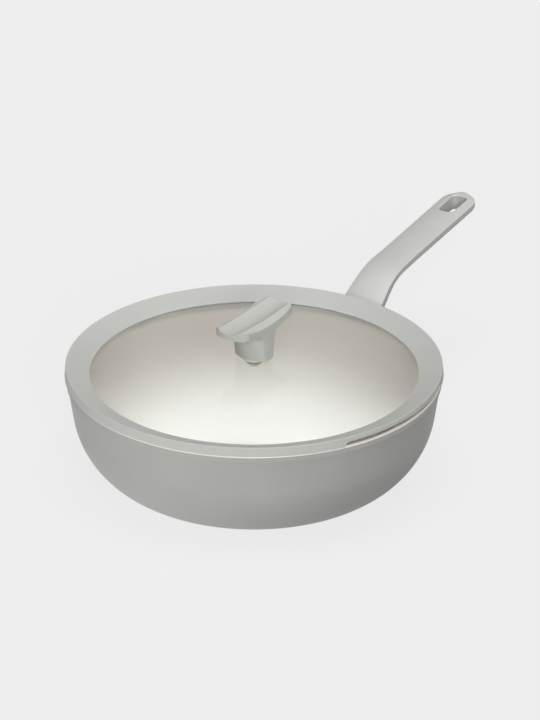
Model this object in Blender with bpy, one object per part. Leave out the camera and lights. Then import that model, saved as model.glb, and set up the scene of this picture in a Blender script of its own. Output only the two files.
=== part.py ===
"""Deep pan with a straining glass lid.

Metres, +Z up. The origin is the centre of the base's underside, +X runs along the handle.
The lid sits on the rim. It lifts along +Z and turns about Z to bring its straining slot round.
"""

import math

import bmesh
import bpy
from mathutils import Matrix, Vector

MM = 0.001

# General
FIT_GAP = 0.3 * MM
ROUND_STEPS = 72
SMALL_STEPS = 24
BEND_STEPS = 9
SMOOTH_ANGLE = math.radians(35)

# Pan body
PAN_HEIGHT = 87.8 * MM
RIM_RADIUS = 145.6 * MM
RIM_BAND_HEIGHT = 5.5 * MM
RIM_BAND_STEP = 0.9 * MM
RIM_ROUND = 0.7 * MM
WALL_DRAFT = math.radians(9.2)
WALL_THICKNESS = 4.0 * MM
OUTER_BEND_RADIUS = 69.5 * MM
FOOT_ANGLE = math.radians(70.2)
INNER_BEND_RADIUS = 60.0 * MM
FLOOR_THICKNESS = 5.0 * MM
FOOT_CHAMFER = 0.8 * MM

# Induction plate, let into the underside
PLATE_RADIUS = 78.0 * MM
PLATE_THICKNESS = 1.6 * MM
PLATE_PROUD = 0.3 * MM
PLATE_GROOVE_RADII = (24.0 * MM, 42.0 * MM, 60.0 * MM)
PLATE_GROOVE_WIDTH = 1.6 * MM
PLATE_GROOVE_DEPTH = 0.4 * MM

# Lid glass
GLASS_THICKNESS = 4.0 * MM
GLASS_EDGE_EASING = 9.0 * MM
GLASS_DOME_RISE = 13.1 * MM
GLASS_HOLE_RADIUS = 4.2 * MM
GLASS_ABOVE_RIM = 14.2 * MM

# Lid ring
RING_OVERHANG = 1.4 * MM
RING_WALL = 10.2 * MM
RING_BAND_HEIGHT = 7.6 * MM
RING_BAND_TAPER = 0.7 * MM
RING_EDGE_ROUND = 0.7 * MM
RING_LIP_REACH = 9.0 * MM
RING_LIP_THICKNESS = 0.7 * MM
RING_LOWER_LIP_REACH = 7.0 * MM
RING_LOWER_LIP_THICKNESS = 1.5 * MM
SKIRT_CLEARANCE = 1.2 * MM
SKIRT_THICKNESS = 4.2 * MM
SKIRT_DEPTH = 8.6 * MM
SKIRT_CORNER = 0.5 * MM

# Turn of the loose lid from the handle's line, as it lies in the photograph
LID_TURN = math.radians(-3.2)

# Straining slot and notches, both square to the knob's length
SLOT_HEIGHT = 3.7 * MM
SLOT_HALF_ANGLE = math.radians(26.8)
SLOT_WALL = 1.1 * MM
NOTCH_HEIGHT = 2.8 * MM
NOTCH_COUNT = 9
NOTCH_WIDTH = 4.0 * MM
NOTCH_PITCH = math.radians(5)
DRAIN_MARGIN = 3.0 * MM

# Knob
KNOB_HALF_LENGTH = 36.7 * MM
KNOB_END_BOW = 4.6 * MM
KNOB_HALF_WIDTH = 15.0 * MM
KNOB_CREST_HALF_WIDTH = 10.2 * MM
KNOB_CREST_NARROWING = 0.9 * MM
KNOB_CORNER = 4.0 * MM
KNOB_CREST_HEIGHT = 35.4 * MM
KNOB_EDGE_DROP = 3.5 * MM
KNOB_EDGE_THICKNESS = 5.9 * MM
KNOB_TROUGH_DEPTH = 3.6 * MM
KNOB_END_TROUGH_DEPTH = 2.4 * MM
KNOB_END_LIFT = 3.6 * MM
KNOB_CREST_END_LIFT = 0.9 * MM
KNOB_EDGE_ROUND = 0.8 * MM
STALK_HALF_WIDTH = 14.8 * MM
STALK_FLAT_BOTTOM = 5.0 * MM
STALK_FLAT_TOP = 8.2 * MM
STALK_BULGE = 5.3 * MM
STALK_FILLET = 5.0 * MM
STALK_INTO_PLATE = 2.5 * MM

# Knob fixing
GASKET_RADIUS = 9.5 * MM
GASKET_THICKNESS = 2.2 * MM
INSERT_RADIUS = 4.5 * MM
INSERT_LENGTH = 12.0 * MM
SCREW_RADIUS = 2.4 * MM
SCREW_HEAD_RADIUS = 4.0 * MM
SCREW_HEAD_HEIGHT = 1.5 * MM
SCREW_ENGAGEMENT = 9.5 * MM
SCREW_RECESS_RADIUS = 1.5 * MM
SCREW_RECESS_DEPTH = 0.8 * MM
SCREW_TIP_CHAMFER = 0.5 * MM
WASHER_RADIUS = 5.4 * MM
WASHER_THICKNESS = 0.5 * MM
INNER_GASKET_RADIUS = 6.6 * MM
INNER_GASKET_THICKNESS = 0.7 * MM

# Handle
NECK_SLOPE = math.radians(33.0)
GRIP_SLOPE = math.radians(5.2)
HANDLE_ROOT_HEIGHT = 72.3 * MM
BEND_REACH = 189.0 * MM
BEND_TANGENT = 17.0 * MM
HANDLE_REACH = 322.5 * MM
HANDLE_NECK_SIDE = 1.0 * MM
HANDLE_GRIP_SIDE = 3.9 * MM
HANDLE_SIDE_START = 180.0 * MM
HANDLE_SIDE_EASING = 24.0 * MM
HANDLE_CROWN = 2.3 * MM
HANDLE_EDGE_ROUND = 0.5 * MM
HANDLE_WALL_WIDTH = 40.0 * MM
HANDLE_NECK_WIDTH = 30.2 * MM
HANDLE_GRIP_WIDTH = 28.4 * MM
HANDLE_TIP_CORNER = 10.0 * MM
HANDLE_TIP_BOW = 3.0 * MM
HANDLE_ROOT_DEPTH = 20.0 * MM
HANDLE_NECK_DEPTH = 15.0 * MM
HANDLE_GRIP_DEPTH = 15.0 * MM
HANDLE_TIP_DEPTH = 14.5 * MM
HANDLE_NECK_BELLY = 0.8
HANDLE_GRIP_BELLY = 1.35
HANDLE_CROWN_POWER = 2.4
HANG_HOLE_LENGTH = 26.0 * MM
HANG_HOLE_WIDTH = 13.0 * MM
HANG_HOLE_CORNER = 4.5 * MM
HANG_HOLE_FROM_TIP = 5.5 * MM
HANG_HOLE_CHAMFER = 1.0 * MM

# Handle fixing
BRACKET_WIDTH = 18.0 * MM
BRACKET_DEPTH = 8.0 * MM
BRACKET_LENGTH = 25.0 * MM
BRACKET_BELOW_TOP = 10.0 * MM
POCKET_CLEARANCE = 0.35 * MM
HANDLE_SCREW_RADIUS = 1.8 * MM
HANDLE_SCREW_HEAD_RADIUS = 3.6 * MM
HANDLE_SCREW_HEAD_HEIGHT = 2.2 * MM
HANDLE_SCREW_RECESS_RADIUS = 1.5 * MM
HANDLE_SCREW_RECESS_DEPTH = 1.2 * MM
HANDLE_SCREW_FROM_END = 8.0 * MM
HANDLE_WASHER_RADIUS = 4.0 * MM
HANDLE_WASHER_THICKNESS = 0.8 * MM
COUNTERBORE_WALL = 1.6 * MM
ROOT_OVERRUN = 25.0 * MM
CUT_BEYOND = 2.0 * MM

# Levels and radii that follow from the sizes above
BODY_BASE_Z = PLATE_PROUD
FLOOR_Z = BODY_BASE_Z + FLOOR_THICKNESS
BAND_FOOT_Z = PAN_HEIGHT - RIM_BAND_HEIGHT
WALL_TOP_RADIUS = RIM_RADIUS - RIM_BAND_STEP
FOOT_TOP_Z = BODY_BASE_Z + FOOT_CHAMFER
WALL_STRAIGHT_END = FOOT_TOP_Z + OUTER_BEND_RADIUS * (math.sin(FOOT_ANGLE) - math.sin(WALL_DRAFT))
RING_RADIUS = RIM_RADIUS + RING_OVERHANG
RING_GROOVE_RADIUS = RING_RADIUS - RING_WALL
GLASS_EDGE_RADIUS = RING_GROOVE_RADIUS - FIT_GAP
GLASS_DOME_END = GLASS_EDGE_RADIUS - GLASS_EDGE_EASING
GLASS_DOME_RADIUS = (GLASS_DOME_END**2 + GLASS_DOME_RISE**2) / (2 * GLASS_DOME_RISE)
RING_LIP_RADIUS = GLASS_EDGE_RADIUS - RING_LIP_REACH
RING_LOWER_LIP_RADIUS = GLASS_EDGE_RADIUS - RING_LOWER_LIP_REACH
SEAT_Z = PAN_HEIGHT + FIT_GAP
RING_TOP_Z = SEAT_Z + RING_BAND_HEIGHT
GLASS_TOP_Z = PAN_HEIGHT + GLASS_ABOVE_RIM
GLASS_UNDER_Z = GLASS_TOP_Z - GLASS_THICKNESS
GASKET_Z = GLASS_TOP_Z + FIT_GAP
STALK_Z = GASKET_Z + GASKET_THICKNESS + FIT_GAP
KNOB_CREST_Z = GLASS_TOP_Z + KNOB_CREST_HEIGHT
KNOB_EDGE_Z = KNOB_CREST_Z - KNOB_EDGE_DROP
KNOB_UNDER_Z = KNOB_EDGE_Z - KNOB_EDGE_THICKNESS
INNER_GASKET_Z = GLASS_UNDER_Z - FIT_GAP - INNER_GASKET_THICKNESS
WASHER_Z = INNER_GASKET_Z - FIT_GAP - WASHER_THICKNESS
SCREW_HEAD_Z = WASHER_Z - FIT_GAP - SCREW_HEAD_HEIGHT


def clear_scene():
    """Remove every object that the file holds."""
    for obj in list(bpy.data.objects):
        bpy.data.objects.remove(obj)


def material(name, colour, roughness, metallic=0.0, alpha=1.0):
    """Make a Principled BSDF material."""
    made = bpy.data.materials.new(name)
    made.use_nodes = True
    shader = made.node_tree.nodes["Principled BSDF"]
    shader.inputs["Base Color"].default_value = (*colour, 1.0)
    shader.inputs["Roughness"].default_value = roughness
    shader.inputs["Metallic"].default_value = metallic
    shader.inputs["Alpha"].default_value = alpha
    return made


def add_object(name, mesh_bm, finish=None, matrix=None):
    """Turn a bmesh into a named object in the scene."""
    mesh = bpy.data.meshes.new(name)
    if matrix is not None:
        bmesh.ops.transform(mesh_bm, matrix=matrix, verts=mesh_bm.verts)
    bmesh.ops.recalc_face_normals(mesh_bm, faces=mesh_bm.faces)
    mesh_bm.to_mesh(mesh)
    mesh_bm.free()
    mesh.shade_smooth()
    mesh.set_sharp_from_angle(angle=SMOOTH_ANGLE)
    obj = bpy.data.objects.new(name, mesh)
    bpy.context.scene.collection.objects.link(obj)
    if finish is not None:
        mesh.materials.append(finish)
    return obj


def as_cutter(obj):
    """Keep a helper out of the model and out of the way."""
    obj.hide_render = True
    obj.display_type = "WIRE"
    return obj


def boolean(obj, other, operation="DIFFERENCE"):
    """Cut one object from another, or join them."""
    modifier = obj.modifiers.new(other.name, "BOOLEAN")
    modifier.operation = operation
    modifier.solver = "EXACT"
    modifier.object = other
    return modifier


def arc(centre, radius, start, end, steps):
    """Points along an arc in the plane of radius and height, both ends included."""
    points = []
    for index in range(steps + 1):
        angle = start + (end - start) * index / steps
        points.append((centre[0] + radius * math.cos(angle), centre[1] + radius * math.sin(angle)))
    return points


def skin(rings):
    """Join closed rings of equal length by quads, and cap the two ends."""
    made = bmesh.new()
    loops = [[made.verts.new(point) for point in ring] for ring in rings]
    count = len(loops[0])
    for first, second in zip(loops, loops[1:]):
        for index in range(count):
            following = (index + 1) % count
            made.faces.new((first[index], first[following], second[following], second[index]))
    made.faces.new(loops[0])
    made.faces.new(loops[-1])
    return made


def turned(profile, steps=ROUND_STEPS):
    """Turn a closed profile of (radius, height) points about Z. A point on the axis becomes a pole."""
    made = bmesh.new()
    columns = []
    for radius, height in profile:
        if radius < 1e-7:
            columns.append([made.verts.new((0, 0, height))])
            continue
        ring = []
        for index in range(steps):
            angle = 2 * math.pi * index / steps
            ring.append(made.verts.new((radius * math.cos(angle), radius * math.sin(angle), height)))
        columns.append(ring)
    for first, second in zip(columns, columns[1:] + columns[:1]):
        if len(first) == 1 and len(second) == 1:
            continue
        for index in range(steps):
            following = (index + 1) % steps
            corners = [first[index % len(first)], first[following % len(first)]]
            corners += [second[following % len(second)], second[index % len(second)]]
            made.faces.new(list(dict.fromkeys(corners)))
    return made


def sector(profile, start, end, steps):
    """Sweep a closed (radius, height) profile about Z between two angles."""
    rings = []
    for index in range(steps + 1):
        angle = start + (end - start) * index / steps
        rings.append([(r * math.cos(angle), r * math.sin(angle), z) for r, z in profile])
    return skin(rings)


def disc_profile(radius, low, high, bore=0.0):
    """A washer or disc profile, with a bore where one is given."""
    return [(bore, low), (radius, low), (radius, high), (bore, high)]


# Pan


def wall_radius(height):
    """Radius of the straight part of the outer wall at a height."""
    return WALL_TOP_RADIUS - (BAND_FOOT_Z - height) * math.tan(WALL_DRAFT)


def outer_bend_centre():
    """Centre of the arc that joins the outer wall to the foot."""
    start = wall_radius(WALL_STRAIGHT_END)
    return (
        start - OUTER_BEND_RADIUS * math.cos(WALL_DRAFT),
        WALL_STRAIGHT_END + OUTER_BEND_RADIUS * math.sin(WALL_DRAFT),
    )


def inner_wall_radius(height):
    """Radius of the straight part of the inner wall at a height."""
    return wall_radius(height) - WALL_THICKNESS / math.cos(WALL_DRAFT)


def inner_bend_centre():
    """Centre of the arc that is tangent to the inner wall and to the floor."""
    height = FLOOR_Z + INNER_BEND_RADIUS
    return inner_wall_radius(height) - INNER_BEND_RADIUS / math.cos(WALL_DRAFT), height


def pan_profile():
    """Closed outline of the pan body, down the outside and back up the inside."""
    centre = outer_bend_centre()
    points = [
        (RIM_RADIUS - RIM_ROUND, PAN_HEIGHT),
        (RIM_RADIUS, PAN_HEIGHT - RIM_ROUND),
        (RIM_RADIUS, BAND_FOOT_Z + RIM_BAND_STEP),
        (WALL_TOP_RADIUS, BAND_FOOT_Z),
    ]
    points += arc(centre, OUTER_BEND_RADIUS, -WALL_DRAFT, -FOOT_ANGLE, BEND_STEPS)
    foot_radius = points[-1][0]
    recess = PLATE_RADIUS + FIT_GAP
    recess_z = PLATE_THICKNESS + FIT_GAP
    points += [
        (foot_radius - FOOT_CHAMFER, BODY_BASE_Z),
        (recess, BODY_BASE_Z),
        (recess, recess_z),
        (0.0, recess_z),
        (0.0, FLOOR_Z),
    ]
    points += arc(inner_bend_centre(), INNER_BEND_RADIUS, -math.pi / 2, -WALL_DRAFT, 8)
    rim_inner = inner_wall_radius(PAN_HEIGHT)
    points += [
        (inner_wall_radius(PAN_HEIGHT - RIM_ROUND), PAN_HEIGHT - RIM_ROUND),
        (rim_inner + RIM_ROUND, PAN_HEIGHT),
    ]
    return points


def build_pan(finish):
    """The cast body with its rim band and the recess for the induction plate."""
    return add_object("pan_body", turned(pan_profile()), finish)


def build_plate(finish):
    """The steel disc under the pan, with turned grooves."""
    points = [(0.0, 0.0)]
    for radius in PLATE_GROOVE_RADII:
        inner = radius - PLATE_GROOVE_WIDTH / 2
        outer = radius + PLATE_GROOVE_WIDTH / 2
        points += [(inner, 0.0), (inner, PLATE_GROOVE_DEPTH), (outer, PLATE_GROOVE_DEPTH), (outer, 0.0)]
    points += [(PLATE_RADIUS, 0.0), (PLATE_RADIUS, PLATE_THICKNESS), (0.0, PLATE_THICKNESS)]
    return add_object("induction_plate", turned(points), finish)


# Lid


def glass_top(radius):
    """Height of the glass's upper face: a dome that flattens out under the ring."""
    sphere_z = GLASS_TOP_Z - GLASS_DOME_RADIUS
    if radius <= GLASS_DOME_END:
        return sphere_z + math.sqrt(GLASS_DOME_RADIUS**2 - radius**2)
    slope = math.asin(GLASS_DOME_END / GLASS_DOME_RADIUS)
    flat_radius = (GLASS_EDGE_RADIUS - GLASS_DOME_END) / math.sin(slope)
    dome_end_z = sphere_z + math.sqrt(GLASS_DOME_RADIUS**2 - GLASS_DOME_END**2)
    edge_z = dome_end_z - flat_radius * (1 - math.cos(slope))
    rest = max(0.0, GLASS_EDGE_RADIUS - radius)
    return edge_z + flat_radius - math.sqrt(flat_radius**2 - rest**2)


def glass_profile():
    """Closed outline of the glass between its hole and its edge."""
    steps = 8
    reach = GLASS_DOME_END - GLASS_HOLE_RADIUS
    radii = [GLASS_HOLE_RADIUS + reach * index / steps for index in range(steps + 1)]
    radii += [(GLASS_DOME_END + GLASS_EDGE_RADIUS) / 2, GLASS_EDGE_RADIUS]
    top = [(radius, glass_top(radius)) for radius in radii]
    under = [(radius, height - GLASS_THICKNESS) for radius, height in reversed(top)]
    return top + under


def ring_profile():
    """Closed outline of the silicone ring, with its groove for the glass and its skirt."""
    groove = RING_GROOVE_RADIUS
    middle = (GLASS_DOME_END + GLASS_EDGE_RADIUS) / 2
    lip_z = glass_top(RING_LIP_RADIUS) + FIT_GAP + RING_LIP_THICKNESS
    lower_lip_top = glass_top(RING_LOWER_LIP_RADIUS) - GLASS_THICKNESS - FIT_GAP
    lower_lip_z = glass_top(GLASS_EDGE_RADIUS) - GLASS_THICKNESS - FIT_GAP - RING_LOWER_LIP_THICKNESS
    skirt_z = SEAT_Z - SKIRT_DEPTH
    skirt_outer = inner_wall_radius(skirt_z) - SKIRT_CLEARANCE
    skirt_inner = skirt_outer - SKIRT_THICKNESS
    band_top = RING_RADIUS - RING_BAND_TAPER
    edge_z = RING_TOP_Z - RING_EDGE_ROUND
    slope = (RING_TOP_Z - lip_z) / (band_top - RING_LIP_RADIUS)
    return [
        (RING_LIP_RADIUS, lip_z),
        (band_top - RING_EDGE_ROUND, RING_TOP_Z - RING_EDGE_ROUND * slope),
        (band_top - RING_EDGE_ROUND * 0.3, RING_TOP_Z - RING_EDGE_ROUND * 0.4),
        (band_top, edge_z),
        (RING_RADIUS, SEAT_Z),
        (skirt_outer, SEAT_Z),
        (skirt_outer, skirt_z + SKIRT_CORNER),
        (skirt_outer - SKIRT_CORNER, skirt_z),
        (skirt_inner + SKIRT_CORNER, skirt_z),
        (skirt_inner, skirt_z + SKIRT_CORNER),
        (skirt_inner, lower_lip_z),
        (RING_LOWER_LIP_RADIUS, lower_lip_z),
        (RING_LOWER_LIP_RADIUS, lower_lip_top),
        (groove, glass_top(GLASS_EDGE_RADIUS) - GLASS_THICKNESS - FIT_GAP),
        (groove, glass_top(GLASS_EDGE_RADIUS) + FIT_GAP),
        (middle, glass_top(middle) + FIT_GAP),
        (RING_LIP_RADIUS, glass_top(RING_LIP_RADIUS) + FIT_GAP),
    ]


def drain_profile(height, through_skirt):
    """Outline of what a straining slot or notch takes out of the ring."""
    wall = RING_GROOVE_RADIUS + SLOT_WALL
    beyond = RING_RADIUS + DRAIN_MARGIN
    low = SEAT_Z - SKIRT_DEPTH - DRAIN_MARGIN
    top = SEAT_Z + height
    if not through_skirt:
        return [(wall, low), (beyond, low), (beyond, top), (wall, top)]
    lip_z = glass_top(GLASS_EDGE_RADIUS) - GLASS_THICKNESS - FIT_GAP - RING_LOWER_LIP_THICKNESS
    inside = RING_LOWER_LIP_RADIUS + SLOT_WALL
    return [(inside, low), (beyond, low), (beyond, top), (wall, top), (wall, lip_z), (inside, lip_z)]


def build_ring(finish):
    """The silicone ring with its large slot on one side and its small notches on the other."""
    ring = add_object("lid_ring", turned(ring_profile()), finish)
    slot_centre = LID_TURN - math.pi / 2
    start = slot_centre - SLOT_HALF_ANGLE
    end = slot_centre + SLOT_HALF_ANGLE
    slot = as_cutter(add_object("slot_cutter", sector(drain_profile(SLOT_HEIGHT, True), start, end, 12)))
    boolean(ring, slot)
    half = NOTCH_WIDTH / RING_RADIUS / 2
    for index in range(NOTCH_COUNT):
        middle = slot_centre + math.pi + (index - (NOTCH_COUNT - 1) / 2) * NOTCH_PITCH
        cut = sector(drain_profile(NOTCH_HEIGHT, False), middle - half, middle + half, 1)
        boolean(ring, as_cutter(add_object(f"notch_cutter_{index}", cut)))
    return ring


def build_glass(finish):
    """The domed glass."""
    return add_object("lid_glass", turned(glass_profile()), finish)


# Knob


def plate_section(reach):
    """One cross-section of the knob's plate, at a share of its half length from -1 to 1."""
    lift = KNOB_END_LIFT * reach**2
    crest = KNOB_CREST_Z + KNOB_CREST_END_LIFT * reach**2
    edge = KNOB_EDGE_Z + lift
    under = KNOB_UNDER_Z + lift
    crest_side = KNOB_CREST_HALF_WIDTH - KNOB_CREST_NARROWING * reach**2
    dish = KNOB_TROUGH_DEPTH + (KNOB_END_TROUGH_DEPTH - KNOB_TROUGH_DEPTH) * reach**2
    section = []
    steps = 8
    for index in range(steps + 1):
        share = 2 * index / steps - 1
        section.append((share * crest_side, crest - dish * (1 - share**2)))
    rounding = KNOB_EDGE_ROUND
    section += [(KNOB_HALF_WIDTH - rounding, edge + rounding), (KNOB_HALF_WIDTH, edge)]
    section += [(KNOB_HALF_WIDTH, under + rounding), (KNOB_HALF_WIDTH - rounding, under)]
    section += [(0.0, under)]
    section += [(-KNOB_HALF_WIDTH + rounding, under), (-KNOB_HALF_WIDTH, under + rounding)]
    section += [(-KNOB_HALF_WIDTH, edge), (-KNOB_HALF_WIDTH + rounding, edge + rounding)]
    return section


def knob_end(side):
    """How far the plate's bowed end, with its rounded corners, lies from the middle at a given side offset."""
    share = min(1.0, abs(side) / KNOB_HALF_WIDTH)
    bow = KNOB_END_BOW * share**2
    over = max(0.0, abs(side) - (KNOB_HALF_WIDTH - KNOB_CORNER))
    corner = KNOB_CORNER - math.sqrt(max(0.0, KNOB_CORNER**2 - over**2))
    return KNOB_HALF_LENGTH - bow - corner


def build_knob(finish):
    """The moulded knob: dished saddle plate on a broad stalk, hollowed for its insert."""
    stations = 12
    rings = []
    for index in range(stations + 1):
        reach = math.sin(math.pi / 2 * (2 * index / stations - 1))
        rings.append([(reach * knob_end(y), y, z) for y, z in plate_section(reach)])
    knob = add_object("knob", skin(rings), finish)
    stalk = as_cutter(add_object("stalk_form", skin(stalk_rings())))
    boolean(knob, stalk, "UNION")
    pocket = disc_profile(INSERT_RADIUS + FIT_GAP, STALK_Z - CUT_BEYOND, insert_low() + INSERT_LENGTH + FIT_GAP)
    boolean(knob, as_cutter(add_object("insert_pocket", turned(pocket, SMALL_STEPS))))
    knob.rotation_euler = (0, 0, LID_TURN)
    return knob


def stalk_section(flat, bulge, height):
    """Closed outline of the stalk: two flats, joined by bowed front and back faces."""
    points = []
    steps = 6
    for side in (-1, 1):
        for index in range(steps + 1):
            y = side * STALK_HALF_WIDTH * (2 * index / steps - 1)
            share = y / STALK_HALF_WIDTH
            points.append((side * -(flat + bulge * (1 - share**2)), y, height))
    return points


def stalk_rings():
    """The stalk from its foot up into the plate, flaring out under the plate."""
    rings = []
    top = KNOB_UNDER_Z
    fillet_start = top - STALK_FILLET
    levels = [(STALK_Z, 0.0)]
    levels += [(STALK_Z + (fillet_start - STALK_Z) * share, 0.0) for share in (0.5, 1.0)]
    for index in range(1, 5):
        angle = math.pi / 2 * index / 4
        rise = STALK_FILLET * math.sin(angle)
        levels.append((fillet_start + rise, STALK_FILLET * (1 - math.cos(angle))))
    levels.append((top + STALK_INTO_PLATE, STALK_FILLET))
    for height, flare in levels:
        share = min(1.0, (height - STALK_Z) / (top - STALK_Z))
        flat = STALK_FLAT_BOTTOM + (STALK_FLAT_TOP - STALK_FLAT_BOTTOM) * share + flare
        rings.append(stalk_section(flat, STALK_BULGE, height))
    return rings


def insert_low():
    """Height of the insert's lower end, just inside the stalk."""
    return STALK_Z + FIT_GAP


def build_insert(finish):
    """The threaded insert in the stalk."""
    low = insert_low()
    bore = SCREW_RADIUS + FIT_GAP
    profile = disc_profile(INSERT_RADIUS, low, low + INSERT_LENGTH, bore)
    return add_object("knob_insert", turned(profile, SMALL_STEPS), finish)


def build_knob_gasket(finish):
    """The washer between stalk and glass."""
    profile = disc_profile(GASKET_RADIUS, GASKET_Z, GASKET_Z + GASKET_THICKNESS, SCREW_RADIUS + FIT_GAP)
    return add_object("knob_gasket", turned(profile, SMALL_STEPS), finish)


def build_inner_gasket(finish):
    """The gasket under the glass, with a collar that lines the glass's hole."""
    bore = SCREW_RADIUS + FIT_GAP
    flange_top = INNER_GASKET_Z + INNER_GASKET_THICKNESS
    collar = GLASS_HOLE_RADIUS - FIT_GAP
    collar_top = GLASS_TOP_Z - FIT_GAP
    profile = [
        (bore, INNER_GASKET_Z),
        (INNER_GASKET_RADIUS, INNER_GASKET_Z),
        (INNER_GASKET_RADIUS, flange_top),
        (collar, flange_top),
        (collar, collar_top),
        (bore, collar_top),
    ]
    return add_object("inner_gasket", turned(profile, SMALL_STEPS), finish)


def build_knob_washer(finish):
    """The steel washer under the knob screw's head."""
    profile = disc_profile(WASHER_RADIUS, WASHER_Z, WASHER_Z + WASHER_THICKNESS, SCREW_RADIUS + FIT_GAP)
    return add_object("knob_screw_washer", turned(profile, SMALL_STEPS), finish)


def screw_profile(radius, head_radius, head_height, length, recess_radius, recess_depth):
    """A screw standing on its domed head at height 0, with its shank up and a round recess."""
    dome = 0.35 * head_height
    return [
        (0.0, recess_depth),
        (recess_radius, recess_depth),
        (recess_radius, 0.0),
        (head_radius - dome, 0.0),
        (head_radius, dome),
        (head_radius, head_height),
        (radius, head_height),
        (radius, head_height + length - SCREW_TIP_CHAMFER),
        (radius - SCREW_TIP_CHAMFER, head_height + length),
        (0.0, head_height + length),
    ]


def build_knob_screw(finish):
    """The screw that holds the knob, from below the glass up into the insert."""
    length = insert_low() + SCREW_ENGAGEMENT - (SCREW_HEAD_Z + SCREW_HEAD_HEIGHT)
    profile = screw_profile(
        SCREW_RADIUS, SCREW_HEAD_RADIUS, SCREW_HEAD_HEIGHT, length, SCREW_RECESS_RADIUS, SCREW_RECESS_DEPTH
    )
    place = Matrix.Translation((0, 0, SCREW_HEAD_Z))
    return add_object("knob_screw", turned(profile, SMALL_STEPS), finish, place)


# Handle


def handle_path():
    """Stations along the middle of the handle's top: (reach, height, slope)."""
    root_reach = wall_radius(HANDLE_ROOT_HEIGHT)
    bend_start = BEND_REACH - BEND_TANGENT * math.cos(NECK_SLOPE)
    neck = []
    for share in (0.0, 0.3, 0.65, 1.0):
        reach = root_reach + (bend_start - root_reach) * share
        neck.append((reach, HANDLE_ROOT_HEIGHT + (reach - root_reach) * math.tan(NECK_SLOPE), NECK_SLOPE))
    radius = BEND_TANGENT / math.tan((NECK_SLOPE - GRIP_SLOPE) / 2)
    start_x, start_z, _ = neck[-1]
    centre = (start_x + radius * math.sin(NECK_SLOPE), start_z - radius * math.cos(NECK_SLOPE))
    bend = []
    for index in range(1, 6):
        slope = NECK_SLOPE + (GRIP_SLOPE - NECK_SLOPE) * index / 5
        bend.append((centre[0] - radius * math.sin(slope), centre[1] + radius * math.cos(slope), slope))
    grip = []
    grip_x, grip_z, _ = bend[-1]
    tip_start = HANDLE_REACH - HANDLE_TIP_CORNER - HANDLE_TIP_BOW
    for share in (0.35, 0.7, 1.0):
        reach = grip_x + (tip_start - grip_x) * share
        grip.append((reach, grip_z + (reach - grip_x) * math.tan(GRIP_SLOPE), GRIP_SLOPE))
    for index in range(1, 6):
        reach = tip_start + (HANDLE_REACH - tip_start) * math.sin(math.pi / 2 * index / 5)
        grip.append((reach, grip_z + (reach - grip_x) * math.tan(GRIP_SLOPE), GRIP_SLOPE))
    return neck + bend + grip


def handle_half_width(reach):
    """Half the handle's width at a reach, narrowing along the neck and rounded at the tip."""
    root = wall_radius(HANDLE_ROOT_HEIGHT)
    if reach < BEND_REACH:
        share = (reach - root) / (BEND_REACH - root)
        eased = 1 - (1 - share) ** 1.5
        return (HANDLE_WALL_WIDTH + (HANDLE_NECK_WIDTH - HANDLE_WALL_WIDTH) * eased) / 2
    grip_start = BEND_REACH + 2 * BEND_TANGENT
    share = min(1.0, (reach - BEND_REACH) / (grip_start - BEND_REACH))
    half = (HANDLE_NECK_WIDTH + (HANDLE_GRIP_WIDTH - HANDLE_NECK_WIDTH) * share) / 2
    tip_start = HANDLE_REACH - HANDLE_TIP_CORNER - HANDLE_TIP_BOW
    if reach <= tip_start:
        return half
    into = (reach - tip_start) / (HANDLE_REACH - tip_start)
    return half - HANDLE_TIP_CORNER * (1 - math.sqrt(max(0.0, 1 - into**2)))


def handle_depth(reach):
    """Depth of the handle at a reach, under the middle of its top."""
    root = wall_radius(HANDLE_ROOT_HEIGHT)
    if reach < BEND_REACH:
        share = (reach - root) / (BEND_REACH - root)
        return HANDLE_ROOT_DEPTH + (HANDLE_NECK_DEPTH - HANDLE_ROOT_DEPTH) * share
    share = min(1.0, (reach - BEND_REACH) / (HANDLE_REACH - BEND_REACH))
    return HANDLE_GRIP_DEPTH + (HANDLE_TIP_DEPTH - HANDLE_GRIP_DEPTH) * share


def handle_section(reach):
    """Closed outline across the handle at a reach: crowned top, upright sides and a belly.

    The sides grow and the belly narrows from the neck to the grip.
    """
    half = handle_half_width(reach)
    depth = handle_depth(reach)
    into = min(1.0, max(0.0, (reach - HANDLE_SIDE_START) / HANDLE_SIDE_EASING))
    eased = into**2 * (3 - 2 * into)
    side_height = HANDLE_NECK_SIDE + (HANDLE_GRIP_SIDE - HANDLE_NECK_SIDE) * eased
    power = HANDLE_NECK_BELLY + (HANDLE_GRIP_BELLY - HANDLE_NECK_BELLY) * eased
    top = []
    for share in (-1.0, -0.75, -0.4, 0.0, 0.4, 0.75, 1.0):
        side = share * (half - HANDLE_EDGE_ROUND)
        top.append((side, -HANDLE_CROWN * abs(share) ** HANDLE_CROWN_POWER))
    side_top = -HANDLE_CROWN - HANDLE_EDGE_ROUND
    side_foot = -HANDLE_CROWN - side_height
    belly = []
    for index in range(9):
        angle = math.pi * index / 8
        fall = (depth + side_foot) * math.sin(angle) ** power
        across = math.copysign(abs(math.cos(angle)) ** power, math.cos(angle))
        belly.append((half * across, side_foot - fall))
    return top + [(half, side_top)] + belly + [(-half, side_top)]


def along_neck(point, slope, distance):
    """Move a point along the handle's line."""
    return point + Vector((math.cos(slope), 0, math.sin(slope))) * distance


def handle_rings():
    """Cross-sections of the handle, the first one well inside the pan's wall."""
    rings = []
    for index, (reach, height, slope) in enumerate(handle_path()):
        across = Vector((-math.sin(slope), 0, math.cos(slope)))
        inward = ROOT_OVERRUN if index == 0 else 0.0
        ring = []
        for side, fall in handle_section(reach):
            point = Vector((reach, side, height)) + across * fall
            ring.append(along_neck(point, slope, -inward))
        rings.append(ring)
    return rings


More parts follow.
